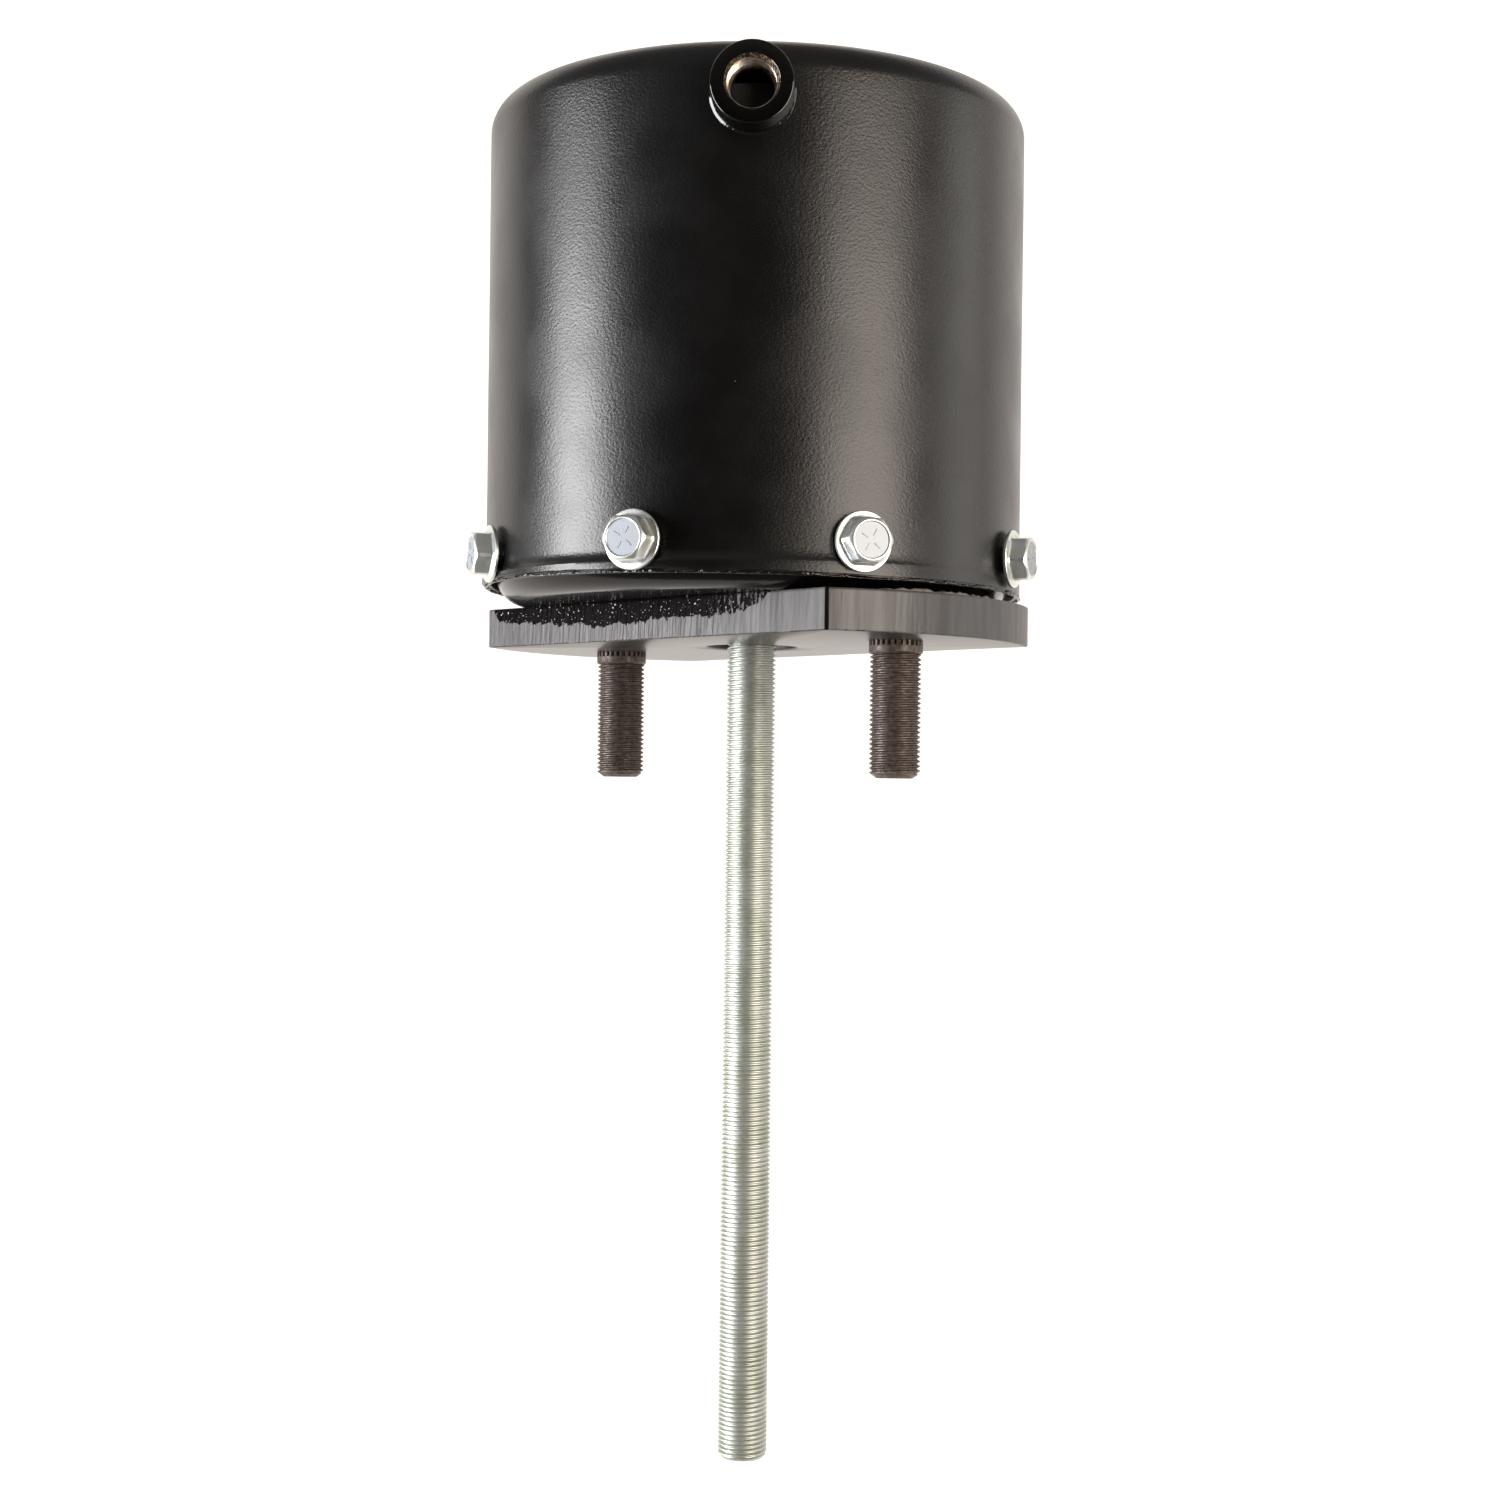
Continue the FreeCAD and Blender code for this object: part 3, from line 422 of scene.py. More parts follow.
def caulk():
    material, tree, shader = newFinish("caulk", (0.2, 0.18, 0.165), 0.55)
    colored(tree, shader, between(tree, cloud(tree, 300), 0.5, 0.65),
            (0.2, 0.18, 0.165), (0.05, 0.043, 0.04))
    bumped(tree, shader, cloud(tree, 1100), 0.2, 0.7)
    return material


def lumpBlack():
    material, tree, shader = newFinish("lumpBlack", (0.004, 0.0035, 0.003), 0.15)
    bumped(tree, shader, cloud(tree, 900, detail=2.0), 0.5)
    return material


def plainFinish(name, color, roughness, metallic):
    material, tree, shader = newFinish(name, color, roughness, metallic)
    bumped(tree, shader, cloud(tree, 600), 0.05, 0.5)
    return material


plateSizes = {
    "radius": 90.2, "thick": 12.7, "hole": 15, "holeBevel": 0.4, "middle": 22, "edge": 0.5,
    "edgeShare": 0.3, "rimBevel": 0.15, "underBevel": 0.25, "topBevel": 0.35, "steps": 1500,
    "rows": 26,
    "flat": 47.9, "flatTurn": 43.2,  # counted from -Y towards -X
    # thick paint on the flat side: its ends, then places between them and the share of the
    # plate's thickness that it covers there
    "runStart": -76, "runEnd": 56,
    "runDepths": [(0.002, 0.34), (0.03, 0.42), (0.26, 0.53), (0.37, 0.62), (0.53, 0.58),
                  (0.68, 0.52), (0.85, 0.5), (0.97, 0.46), (0.995, 0.25)],
}
canBlack = satinBlack()
panBlack = glossBlack()
bossBlack = portBlack()
threadMetal = bareThread()
mouthMetal = brownMouth()
studCoat = phosphate()
rodZinc = zincRod()
boltZinc = zincBolt()
boltRecess = zincRecess()
plateSide = cutSteel(plateSizes)
plateUnder = plateFace("plateUnder", 0.29)
plateTop = plateFace("plateTop", 0.5)
sealer = caulk()
lumpy = lumpBlack()
springCoat = plainFinish("springPaint", (0.02, 0.02, 0.022), 0.35, 0.0)
print("finishes made")


# Can

canSizes = {
    "radius": 86.75, "wall": 3, "corner": 172.2, "rise": 9.5, "shoulder": 10, "steps": 288,
    # the open end: a lip, a flared band and the sweep back to the wall
    "edge": 16.8, "lip": 1.2, "lipCorners": ((0.9, 0.35), (0.12, 0.2)), "flare": 1.35,
    "bandFoot": 17.6, "bandTop": 20.4, "bandBevel": 0.2, "sweepTop": 24, "sweep": 5.48,
    "sweepTurn": 41, "sweepTrim": 2, "innerBevel": (0.3, 0.4), "innerLift": 0.7,
    # the flare fades to the right, the edge slants and is ragged, and the wall is dented
    "flareFade": 0.85, "slant": 0.016, "leastLift": -0.6, "raggedEdge": 0.35, "raggedReach": 0.8,
    "raggedSize": 7, "dents": 0.06, "dentSize": 38, "dentReach": 60, "waveRadius": 86,
    "hole": 6.5, "holeFrom": 70, "holeTo": 99, "holeSteps": 48,
}


# Wall, shoulder and crown of the can, inside or outside, from the wall's foot to the apex
def canLine(inset, foot):
    c = canSizes
    sphere = (c["radius"] ** 2 + c["rise"] ** 2) / (2 * c["rise"])
    middle = c["corner"] + c["rise"] - sphere
    radius, bend, ball = c["radius"] - inset, c["shoulder"] - inset, sphere - inset
    height = middle + math.sqrt((ball - bend) ** 2 - (radius - bend) ** 2)
    tilt = math.degrees(math.atan2(height - middle, radius - bend))
    crown = arc((0, middle), ball, tilt, 90, 30)[1:]
    crown[-1] = (0, crown[-1][1])
    shoulder = arc((radius - bend, height), bend, 0, tilt, 14)[1:]
    return dense([(radius, foot), (radius, height)], 4) + shoulder + crown


def makeCan():
    c = canSizes
    foot = c["radius"] + c["flare"]
    outer = [(foot - c["lip"], c["edge"])]
    outer += [(foot - inset, c["bandFoot"] - drop) for inset, drop in c["lipCorners"]]
    outer += dense([(foot, c["bandFoot"]), (foot, c["bandTop"] - c["bandBevel"])], 0.8)
    outer += [(foot - c["bandBevel"] / 2, c["bandTop"])]
    outer += arc((c["radius"] + c["sweep"], c["sweepTop"]), c["sweep"],
                 180 + c["sweepTurn"] - c["sweepTrim"], 180 + c["sweepTrim"], 12)
    outer += canLine(0, c["sweepTop"])
    innerFoot = foot - c["wall"]
    bevel, bevelRise = c["innerBevel"]
    inner = [(innerFoot + bevel, c["edge"]), (innerFoot, c["edge"] + bevelRise),
             (innerFoot, c["bandTop"] + c["innerLift"])]
    inner += canLine(c["wall"], c["sweepTop"] + c["innerLift"])

    def handle(radii, heights, turn):
        def waves(height, size, seed):
            return np.array([ripple(c["waveRadius"] * math.cos(a), c["waveRadius"] * math.sin(a),
                                    height, size, seed) for a in turn])

        nearEdge = max(0.0, 1 - (heights[0] - c["edge"]) / c["raggedReach"])
        inBand = (c["bandTop"] - heights[0]) / (c["bandTop"] - c["bandFoot"])
        inBand = min(1.0, max(0.0, inBand))
        dents = c["dents"] * min(1.0, radii[0] / c["dentReach"])
        flared = max(0.0, radii[0] - c["radius"]) * c["flareFade"] * (0.5 + 0.5 * np.cos(turn))
        lift = inBand * np.maximum(c["leastLift"], -c["slant"] * radii[0] * np.cos(turn))
        ragged = c["raggedEdge"] * nearEdge * (0.5 + waves(0, c["raggedSize"], 9)).clip(0, 1)
        radii = radii - flared - dents * (1 + waves(heights[0], c["dentSize"], 3))
        return radii, heights + lift + ragged

    shell = lathe("canShell", list(reversed(inner)) + outer, canBlack, c["steps"], 30, handle)
    plug = [(0, c["holeFrom"]), (c["hole"], c["holeFrom"]), (c["hole"], c["holeTo"]),
            (0, c["holeTo"])]
    cutter = lathe("holeCutter", plug, canBlack, c["holeSteps"])
    alongPort(cutter, portSizes["height"])
    cut = shell.modifiers.new("airHole", "BOOLEAN")
    cut.object = cutter
    cut.operation = "DIFFERENCE"
    cut.solver = "EXACT"
    drilled = shell.evaluated_get(bpy.context.evaluated_depsgraph_get())
    drilled = bpy.data.meshes.new_from_object(drilled)
    shell.modifiers.clear()
    shell.data = drilled
    bpy.data.objects.remove(cutter)
    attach(shell, "housing")
    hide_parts("pressure_can")


# Threads: a grid wound into a helix, with its ends cut off flat inside a cone

threadSizes = {"pitch": 1.5, "crest": 8, "core": 7.08, "rowsPerTurn": 6, "grain": 900.0,
               "mergeGap": 0.004}


def threadTree():
    t = threadSizes
    sockets = {name: "Float" for name in (
        "Core", "Crest", "Pitch", "Bottom", "Top", "Tip Radius", "Tip Slope", "Neck Radius",
        "Neck Slope", "Wear")}
    sockets.update({name: "Int" for name in ("Segments", "Rows", "Rows Per Turn")})
    tree, given = newTree("windThread", {**sockets, "Material": "Material"})
    columns = calc(tree, "ADD", given["Segments"], 1.0)
    grid = addNode(tree, "GeometryNodeMeshGrid", {
        "Size X": 1.0, "Size Y": 1.0, "Vertices X": columns, "Vertices Y": given["Rows"]})
    spot = partsOf(tree, addNode(tree, "GeometryNodeInputPosition").outputs[0])
    turn = calc(tree, "ADD", spot["X"], 0.5)
    lastRow = calc(tree, "SUBTRACT", given["Rows"], 1.0)
    row = calc(tree, "MULTIPLY", calc(tree, "ADD", spot["Y"], 0.5), lastRow)
    row = calc(tree, "ROUND", row)
    wound = calc(tree, "DIVIDE", calc(tree, "SUBTRACT", row, 1.0), given["Rows Per Turn"])
    climb = calc(tree, "SUBTRACT", calc(tree, "ADD", wound, turn), 1.0)
    climb = calc(tree, "MULTIPLY", climb, given["Pitch"])
    height = calc(tree, "ADD", climb, given["Bottom"])
    height = calc(tree, "MAXIMUM", height, given["Bottom"])
    height = calc(tree, "MINIMUM", height, given["Top"])
    # 0 at the crest's middle and 0.5 at the root's, then a flat-topped ridge
    swing = calc(tree, "ADD", wound, 1 - 3.5 / t["rowsPerTurn"])
    swing = calc(tree, "PINGPONG", swing, 0.5)
    ridge = addNode(tree, "ShaderNodeMapRange", {
        "Value": swing, "From Min": 2.5 / t["rowsPerTurn"],
        "From Max": 0.5 / t["rowsPerTurn"]}).outputs[0]
    angle = calc(tree, "MULTIPLY", turn, 2 * math.pi)
    east, north = calc(tree, "COSINE", angle), calc(tree, "SINE", angle)

    def around(radius):
        return vectorOf(tree, X=calc(tree, "MULTIPLY", radius, east),
                        Y=calc(tree, "MULTIPLY", radius, north), Z=height)

    worn = addNode(tree, "ShaderNodeTexNoise", {
        "Vector": around(given["Crest"]), "Scale": t["grain"], "Detail": 2.0}).outputs[0]
    kept = calc(tree, "SUBTRACT", 1.0, calc(tree, "MULTIPLY", worn, given["Wear"]))
    ridge = calc(tree, "MULTIPLY", ridge, kept)
    depth = calc(tree, "SUBTRACT", given["Crest"], given["Core"])
    radius = calc(tree, "MULTIPLY_ADD", ridge, depth, given["Core"])
    tip = calc(tree, "SUBTRACT", height, given["Bottom"])
    tip = calc(tree, "MULTIPLY_ADD", tip, given["Tip Slope"], given["Tip Radius"])
    neck = calc(tree, "SUBTRACT", given["Top"], height)
    neck = calc(tree, "MULTIPLY_ADD", neck, given["Neck Slope"], given["Neck Radius"])
    radius = calc(tree, "MINIMUM", radius, calc(tree, "MINIMUM", tip, neck))
    # the first and the last row close on the axis
    beforeLast = calc(tree, "LESS_THAN", row, calc(tree, "SUBTRACT", lastRow, 0.5))
    onWall = calc(tree, "MULTIPLY", calc(tree, "GREATER_THAN", row, 0.5), beforeLast)
    radius = calc(tree, "MULTIPLY", radius, onWall)
    moved = addNode(tree, "GeometryNodeSetPosition", {
        0: grid.outputs[0], "Position": around(radius)})
    merged = addNode(tree, "GeometryNodeMergeByDistance", {
        0: moved.outputs[0], "Distance": t["mergeGap"] * mm})
    closeTree(tree, merged.outputs[0], given["Material"])
    return tree


windThread = threadTree()


# A threaded length from the piece's drop up to top, with its tip and neck from the piece's sizes
def wind(name, s, top, material):
    t = threadSizes
    bottom = -s["drop"]
    rows = math.ceil((top - bottom) / t["pitch"] + 2) * t["rowsPerTurn"] + 2
    return grow(name, windThread, {
        "Core": t["core"] * mm, "Crest": t["crest"] * mm, "Pitch": t["pitch"] * mm,
        "Bottom": bottom * mm, "Top": top * mm, "Tip Radius": s["tip"] * mm,
        "Tip Slope": s["tipSlope"], "Neck Radius": s["neck"] * mm, "Neck Slope": s["neckSlope"],
        "Wear": s["wear"], "Segments": s["segments"], "Rows": rows,
        "Rows Per Turn": t["rowsPerTurn"], "Material": material})


# Inlet port: boss, weld and the bare thread inside it

portSizes = {
    "height": 156.8, "boss": 12.25, "face": 96.75, "foot": 83.6, "rim": 0.6, "steps": 128,
    "minor": 7.19, "major": 7.95, "threadEnd": 87.95, "hole": 6.5, "mouth": 8.15,
    "mouthDepth": 2.0, "mouthEdge": (0.15, 0.12), "mouthFoot": ((0.2, 0.2), (0.06, 0.14)),
    # the port's thread: radius at each share of a turn
    "ridge": (("minor", 0.15), ("major", 0.5), ("major", 0.65), ("minor", 1.0)),
}
weldSizes = {
    "width": 0.9, "share": 0.9, "wander": 0.12, "wave": 0.6, "lap": 0.3, "rise": 0.6,
    "edge": 0.15, "toe": 0.35, "beads": 30, "beadRise": 0.03, "beadLean": 2.2, "leastWall": 80,
    "buried": 2, "steps": 240, "across": 13,
}


def canRadiusAt(height):
    line = canLine(0, canSizes["sweepTop"])
    return np.interp(height, [z for r, z in line], [r for r, z in line])


def makePort():
    p = portSizes
    boss = [(p["major"], p["foot"]), (p["boss"], p["foot"]), (p["boss"], p["face"] - p["rim"])]
    boss += arc((p["boss"] - p["rim"], p["face"] - p["rim"]), p["rim"], 0, 90, 4)[1:]
    boss += [(p["mouth"] + p["mouthEdge"][0], p["face"])]
    start = p["face"] - p["mouthDepth"]
    foot, corner = [(p["minor"] + out, start + up) for out, up in p["mouthFoot"]]
    mouth = dense([(p["mouth"], p["face"] - p["mouthEdge"][1]), foot], 0.3)
    bore = [corner, (p["minor"], start)]
    pitch = threadSizes["pitch"]
    for turn in range(int((start - p["threadEnd"]) / pitch)):
        bore += [(p[radius], start - pitch * (turn + share)) for radius, share in p["ridge"]]
    bore += [(p["minor"], p["threadEnd"]), (p["hole"], p["threadEnd"]), (p["hole"], p["foot"])]
    profile = boss + mouth + bore
    steps = p["steps"]
    bands = [0] * len(boss) + [1] * (len(mouth) - 1) + [2] * (len(bore) + 1)
    kinds = [kind for kind in bands for step in range(steps)]
    shell = newPiece("portBoss", spin(profile, steps), bandFaces(len(profile), steps, closed=True),
                     [bossBlack, mouthMetal, threadMetal], 30, kinds)
    port = joinPieces([alongPort(shell, p["height"]), makeWeld()])
    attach(port, "housing")
    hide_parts("inlet_port")


# The weld follows the line where the boss meets the can, with a ripple for each bead
def makeWeld():
    p = portSizes
    w = weldSizes
    steps, across = w["steps"], w["across"]
    points = []
    for row in range(across):
        share = row / (across - 1)
        for step in range(steps):
            angle = 2 * math.pi * step / steps
            beat = 0.5 + 0.5 * math.cos(w["beads"] * angle + w["beadLean"] * share)
            wave = ripple(math.cos(angle), math.sin(angle), 0, w["wave"], 5)
            width = w["width"] * (w["share"] + w["wander"] * wave)
            distance = p["boss"] - w["lap"] + (width + w["lap"]) * share
            x, z = distance * math.cos(angle), distance * math.sin(angle)
            wall = max(canRadiusAt(p["height"] + z), w["leastWall"])
            wall = math.sqrt(wall ** 2 - x * x)
            swell = (1 - share) ** 2 * w["rise"] + w["edge"] * math.sqrt(1 - share ** 4)
            swell += w["beadRise"] * beat * math.sin(math.pi * share)
            y = -(wall - w["toe"] * share ** 3 + swell)
            points.append((x * mm, y * mm, (p["height"] + z) * mm))
    buried = [(x, y + w["buried"] * mm, z) for x, y, z in points[:steps]]
    faces = bandFaces(across + 1, steps, closed=True)
    return newPiece("portWeld", points + buried, faces, [bossBlack], 60)


makePort()
makeCan()
print("can and port made")


# Lower head: rounded pan under the can

panSizes = {"hole": 18, "bottom": 12.7, "radius": 83.5, "corner": 9, "wall": 3, "top": 38,
            "floorRings": (40, 60), "steps": 256}


def makePan():
    s = panSizes
    bend = (s["radius"] - s["corner"], s["bottom"] + s["corner"])
    outer = [(radius, s["bottom"]) for radius in (s["hole"], *s["floorRings"])]
    outer += arc(bend, s["corner"], -90, 0, 20) + [(s["radius"], s["top"])]
    inner = [(s["radius"] - s["wall"], s["top"])] + arc(bend, s["corner"] - s["wall"], 0, -90, 10)
    inner += [(s["hole"], s["bottom"] + s["wall"])]
    pan = lathe("lowerPan", outer + inner, panBlack, s["steps"], 35, closed=True)
    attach(pan, "housing")
    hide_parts("lower_head")


# Mounting plate: torch-cut outline with two straight sides and round ends

def plateRim(turn):
    s = plateSizes
    toFlat = math.cos(turn - math.radians(-90 - s["flatTurn"]))
    if abs(toFlat) * s["radius"] > s["flat"]:
        return s["flat"] / abs(toFlat)
    return s["radius"]


# Drag lines that the torch left on the cut rim: their widths, how far they lag and change with
# the height, and their depths on the flat sides and on the round ends
dragSizes = {
    "lag": 0.06, "coarse": 0.9, "fine": 0.45, "broad": 9, "lean": (0.04, 0.12, 0.3),
    "flatDepths": (0.12, 0.06, 0.1), "roundDepths": (0.035, 0.03, 0.08),
}


# Depth of the drag lines at a place along the rim and a height, in mm
def dragLines(along, height, onFlat):
    d = dragSizes
    lag = along + d["lag"] * (plateSizes["thick"] - height)
    coarse = ripple(lag, 0, height * d["lean"][0], d["coarse"], 2)
    fine = ripple(lag, 5, height * d["lean"][1], d["fine"], 7)
    broad = ripple(along, 9, height * d["lean"][2], d["broad"], 4)
    if onFlat:
        deep, thin, wide = d["flatDepths"]
        return deep * max(0.0, 0.5 + coarse) + thin * fine + wide * (0.5 + broad)
    deep, thin, wide = d["roundDepths"]
    return deep * (1 + coarse) + thin * fine + wide * (0.5 + broad)


def makePlate():
    s = plateSizes
    turns = list(np.linspace(0, 2 * math.pi, s["steps"], endpoint=False))
    corner = math.acos(s["flat"] / s["radius"])
    for side in (0, math.pi):  # the rim's four corners take the nearest steps
        for sign in (-1, 1):
            exact = (math.radians(-90 - s["flatTurn"]) + side + sign * corner) % (2 * math.pi)
            turns[int(np.argmin([abs(turn - exact) for turn in turns]))] = exact
    rims = [plateRim(turn + 1e-9) for turn in turns]  # just past a corner, so none is in doubt
    lengths = np.concatenate([[0], np.cumsum([
        math.dist((a * math.cos(t), a * math.sin(t)), (b * math.cos(u), b * math.sin(u)))
        for a, t, b, u in zip(rims, turns, rims[1:], turns[1:])])])
    edge, thick = s["edge"], s["thick"]
    edgeRise = edge * s["edgeShare"]
    heights = [edgeRise, *np.linspace(edge, thick - edge, s["rows"]), thick - edgeRise]

    def ring(inset, height, ragged):
        points = []
        for turn, rim, length in zip(turns, rims, lengths):
            dip = dragLines(length, height, rim < s["radius"] - 0.01) if ragged else 0
            radius = rim - inset - dip
            points.append((radius * math.cos(turn) * mm, radius * math.sin(turn) * mm, height * mm))
        return points

    def circle(radius, height):
        return [(radius * math.cos(turn) * mm, radius * math.sin(turn) * mm, height * mm)
                for turn in turns]

    bevel = s["holeBevel"]
    under = [circle(s["hole"], bevel), circle(s["hole"] + bevel, 0), circle(s["middle"], 0)]
    side = [ring(edge + s["underBevel"], 0, False)]
    side += [ring(s["rimBevel"] if i in (0, len(heights) - 1) else 0, height, True)
             for i, height in enumerate(heights)]
    top = [ring(edge + s["topBevel"], thick, False), circle(s["middle"], thick),
           circle(s["hole"] + bevel, thick), circle(s["hole"], thick - bevel)]
    rings = under + side + top
    faces = bandFaces(len(rings), s["steps"], closed=True)
    bands = [1] * len(under) + [0] * (len(side) - 1) + [2] * (len(top) + 1)
    kinds = [kind for kind in bands for step in range(s["steps"])]
    points = [point for each in rings for point in each]
    plate = newPiece("cutPlate", points, faces, [plateSide, plateUnder, plateTop], 50, kinds)
    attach(plate, "housing")
    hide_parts("mounting_plate")


makePan()
makePlate()
print("pan and plate made")


# Case bolts: one bolt, with its axis along X, set round the can

boltSizes = {
    "count": 8, "start": 22.5, "height": 26.4, "seat": 88.1, "hexStep": -51.43, "steps": 120,
    "shank": 4, "depth": 8, "flange": 9, "flangeTop": 1.75, "flats": 13, "cornerRound": 0.35,
    "head": 7, "crown": 6.25, "crownSlope": 28, "crownDrop": 0.25, "dish": 5.45, "dishDepth": 0.35,
    # outline of each part: how far out from the flange's rim, and the height
    "flangeLine": ((-0.3, 0), (0, 0.25), (0, 1.0), (-0.2, 1.2), (-1.0, 1.28)),
    # out from the hexagon, and up from the flange's top
    "hexFoot": ((0.7, -0.45), (0.2, -0.1), (0, 0.35)), "hexEdge": (0.12, 0.2),
    # out from the dish's rim, and down from the head's top
    "dishLine": ((0.25, 0), (0.1, 0.06)), "dishIn": 0.15, "dishMiddle": 2, "crownEdge": (0.2, 0.05),
    # raised strokes of the grade mark, by their turn on the head
    "strokes": (62, 150, 240, 318), "strokeFrom": 1.35, "strokeTo": 3.5, "strokeFoot": 0.32,
    "strokeTop": 0.16, "strokeBuried": 0.1, "strokeRise": 0.16,
}


# Radius of a hexagon with rounded corners in a direction
def hexRadius(turn, flats, rounding):
    near = (turn + math.pi / 6) % (math.pi / 3) - math.pi / 6
    sharp = flats / 2 / math.cos(math.pi / 6 - abs(near))
    limit = flats / math.sqrt(3) - rounding * (1 - abs(near) / (math.pi / 6)) ** 2
    return min(sharp, limit)


def makeBolts():
    s = boltSizes
    steps, top = s["steps"], s["head"]
    turns = np.linspace(0, 2 * math.pi, steps, endpoint=False)
    rim = np.array([hexRadius(turn, s["flats"], s["cornerRound"]) for turn in turns])
    slope = math.tan(math.radians(s["crownSlope"]))
    shoulder = top - s["crownDrop"] - np.maximum(0, rim - s["crown"]) * slope
    cornerOut, crownIn = s["hexEdge"]

    def level(radius, height):
        return np.full(steps, float(radius)), np.full(steps, float(height))

    rows = [level(0, -s["depth"]), level(s["shank"], -s["depth"]), level(s["shank"], 0)]
    rows += [level(s["flange"] + out, height) for out, height in s["flangeLine"]]
    rows += [(rim + out, np.full(steps, s["flangeTop"] + up)) for out, up in s["hexFoot"]]
    rows += [(rim, shoulder - s["crownDrop"]), (rim - cornerOut, shoulder)]
    rows += [(np.minimum(rim - crownIn, s["crown"]), np.full(steps, top - s["crownDrop"]))]
    rows += [level(s["crown"] - s["crownEdge"][0], top - s["crownEdge"][1])]
    rows += [level(s["dish"] + out, top - down) for out, down in s["dishLine"]]
    rows += [level(radius, top - s["dishDepth"])
             for radius in (s["dish"] - s["dishIn"], s["dishMiddle"], 0)]
    points = np.concatenate([
        np.stack([heights, radii * np.cos(turns), radii * np.sin(turns)], 1)
        for radii, heights in rows]) * mm
    bands = [0] * (len(rows) - 3) + [1] * 2  # the dish's floor has its own finish
    kinds = [kind for kind in bands for step in range(steps)]
    faces = bandFaces(len(rows), steps)
    bolt = newPiece("flangeBolt", points, faces, [boltZinc, boltRecess], 38, kinds)
    bolt = joinPieces([bolt] + [gradeStroke(angle) for angle in s["strokes"]])
    tree, given = newTree("boltsRound", {
        "Bolt": "Object", "Count": "Int", "Radius": "Float", "Height": "Float",
        "Start": "Float", "Hex Step": "Float"})
    circle = addNode(tree, "GeometryNodeMeshCircle", {
        "Vertices": given["Count"], "Radius": given["Radius"]})
    number = addNode(tree, "GeometryNodeInputIndex").outputs[0]
    stepTurn = calc(tree, "DIVIDE", 2 * math.pi, given["Count"])
    rotation = vectorOf(tree, X=calc(tree, "MULTIPLY", number, given["Hex Step"]),
                        Z=calc(tree, "MULTIPLY", number, stepTurn))
    source = addNode(tree, "GeometryNodeObjectInfo", {"Object": given["Bolt"]})
    placed = addNode(tree, "GeometryNodeInstanceOnPoints", {
        "Points": circle.outputs[0], "Instance": source.outputs["Geometry"],
        "Rotation": rotation})
    turned = addNode(tree, "GeometryNodeTransform", {
        0: placed.outputs[0], "Translation": vectorOf(tree, Z=given["Height"]),
        "Rotation": vectorOf(tree, Z=given["Start"])})
    closeTree(tree, turned.outputs[0])
    bolts = grow("caseBolts", tree, {
        "Bolt": bolt, "Count": s["count"], "Radius": s["seat"] * mm, "Height": s["height"] * mm,
        "Start": math.radians(s["start"] - 90), "Hex Step": math.radians(s["hexStep"])}, 38)
    bpy.data.objects.remove(bolt)
    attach(bolts, "housing")
    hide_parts("case_bolts")


# One short raised stroke of the grade mark on a bolt's head
def gradeStroke(angle):
    s = boltSizes
    floor = s["head"] - s["dishDepth"]
    near, far = s["strokeFrom"], s["strokeTo"]
    turn = math.radians(angle)
    points = []
    for height, half in ((floor - s["strokeBuried"], s["strokeFoot"]),
                         (floor + s["strokeRise"], s["strokeTop"])):
        for out, side in ((near, -half), (far, -half), (far, half), (near, half)):
            points.append((height * mm, (out * math.cos(turn) - side * math.sin(turn)) * mm,
                           (out * math.sin(turn) + side * math.cos(turn)) * mm))
    faces = [(0, 1, 2, 3), (4, 5, 6, 7), (0, 1, 5, 4), (1, 2, 6, 5), (2, 3, 7, 6), (3, 0, 4, 7)]
    return newPiece("tick", points, faces, [boltRecess], 30)


makeBolts()


# Studs: wound thread, smooth collar and the knurl that bites into the plate

studSizes = {
    "spacing": 120.65, "turn": 41,  # the right stud stands this far from +X towards -Y
    "drop": 42.6, "tip": 5.6, "tipSlope": 1.41, "neck": 7.0, "neckSlope": 1.6, "wear": 0.06,
    "segments": 48, "collar": 8.4, "collarFoot": 3.6, "overlap": 0.1,
    # the collar's lower end: radius, and the way up from the collar's foot
    "footLine": ((0, -0.45), (7.7, -0.45), (8.1, -0.3)), "footBevel": 0.1,
    "knurlFoot": 1.4, "knurlLead": 0.12, "knurlTop": 15.7, "knurlDepth": 0.9, "teeth": 28,
    "tooth": (0, 0, 0, 0, 0.6, 1, 1, 0.6),  # share of the knurl's depth, along one tooth
    "headTop": 20.7, "head": 12, "headBevel": 1,
}


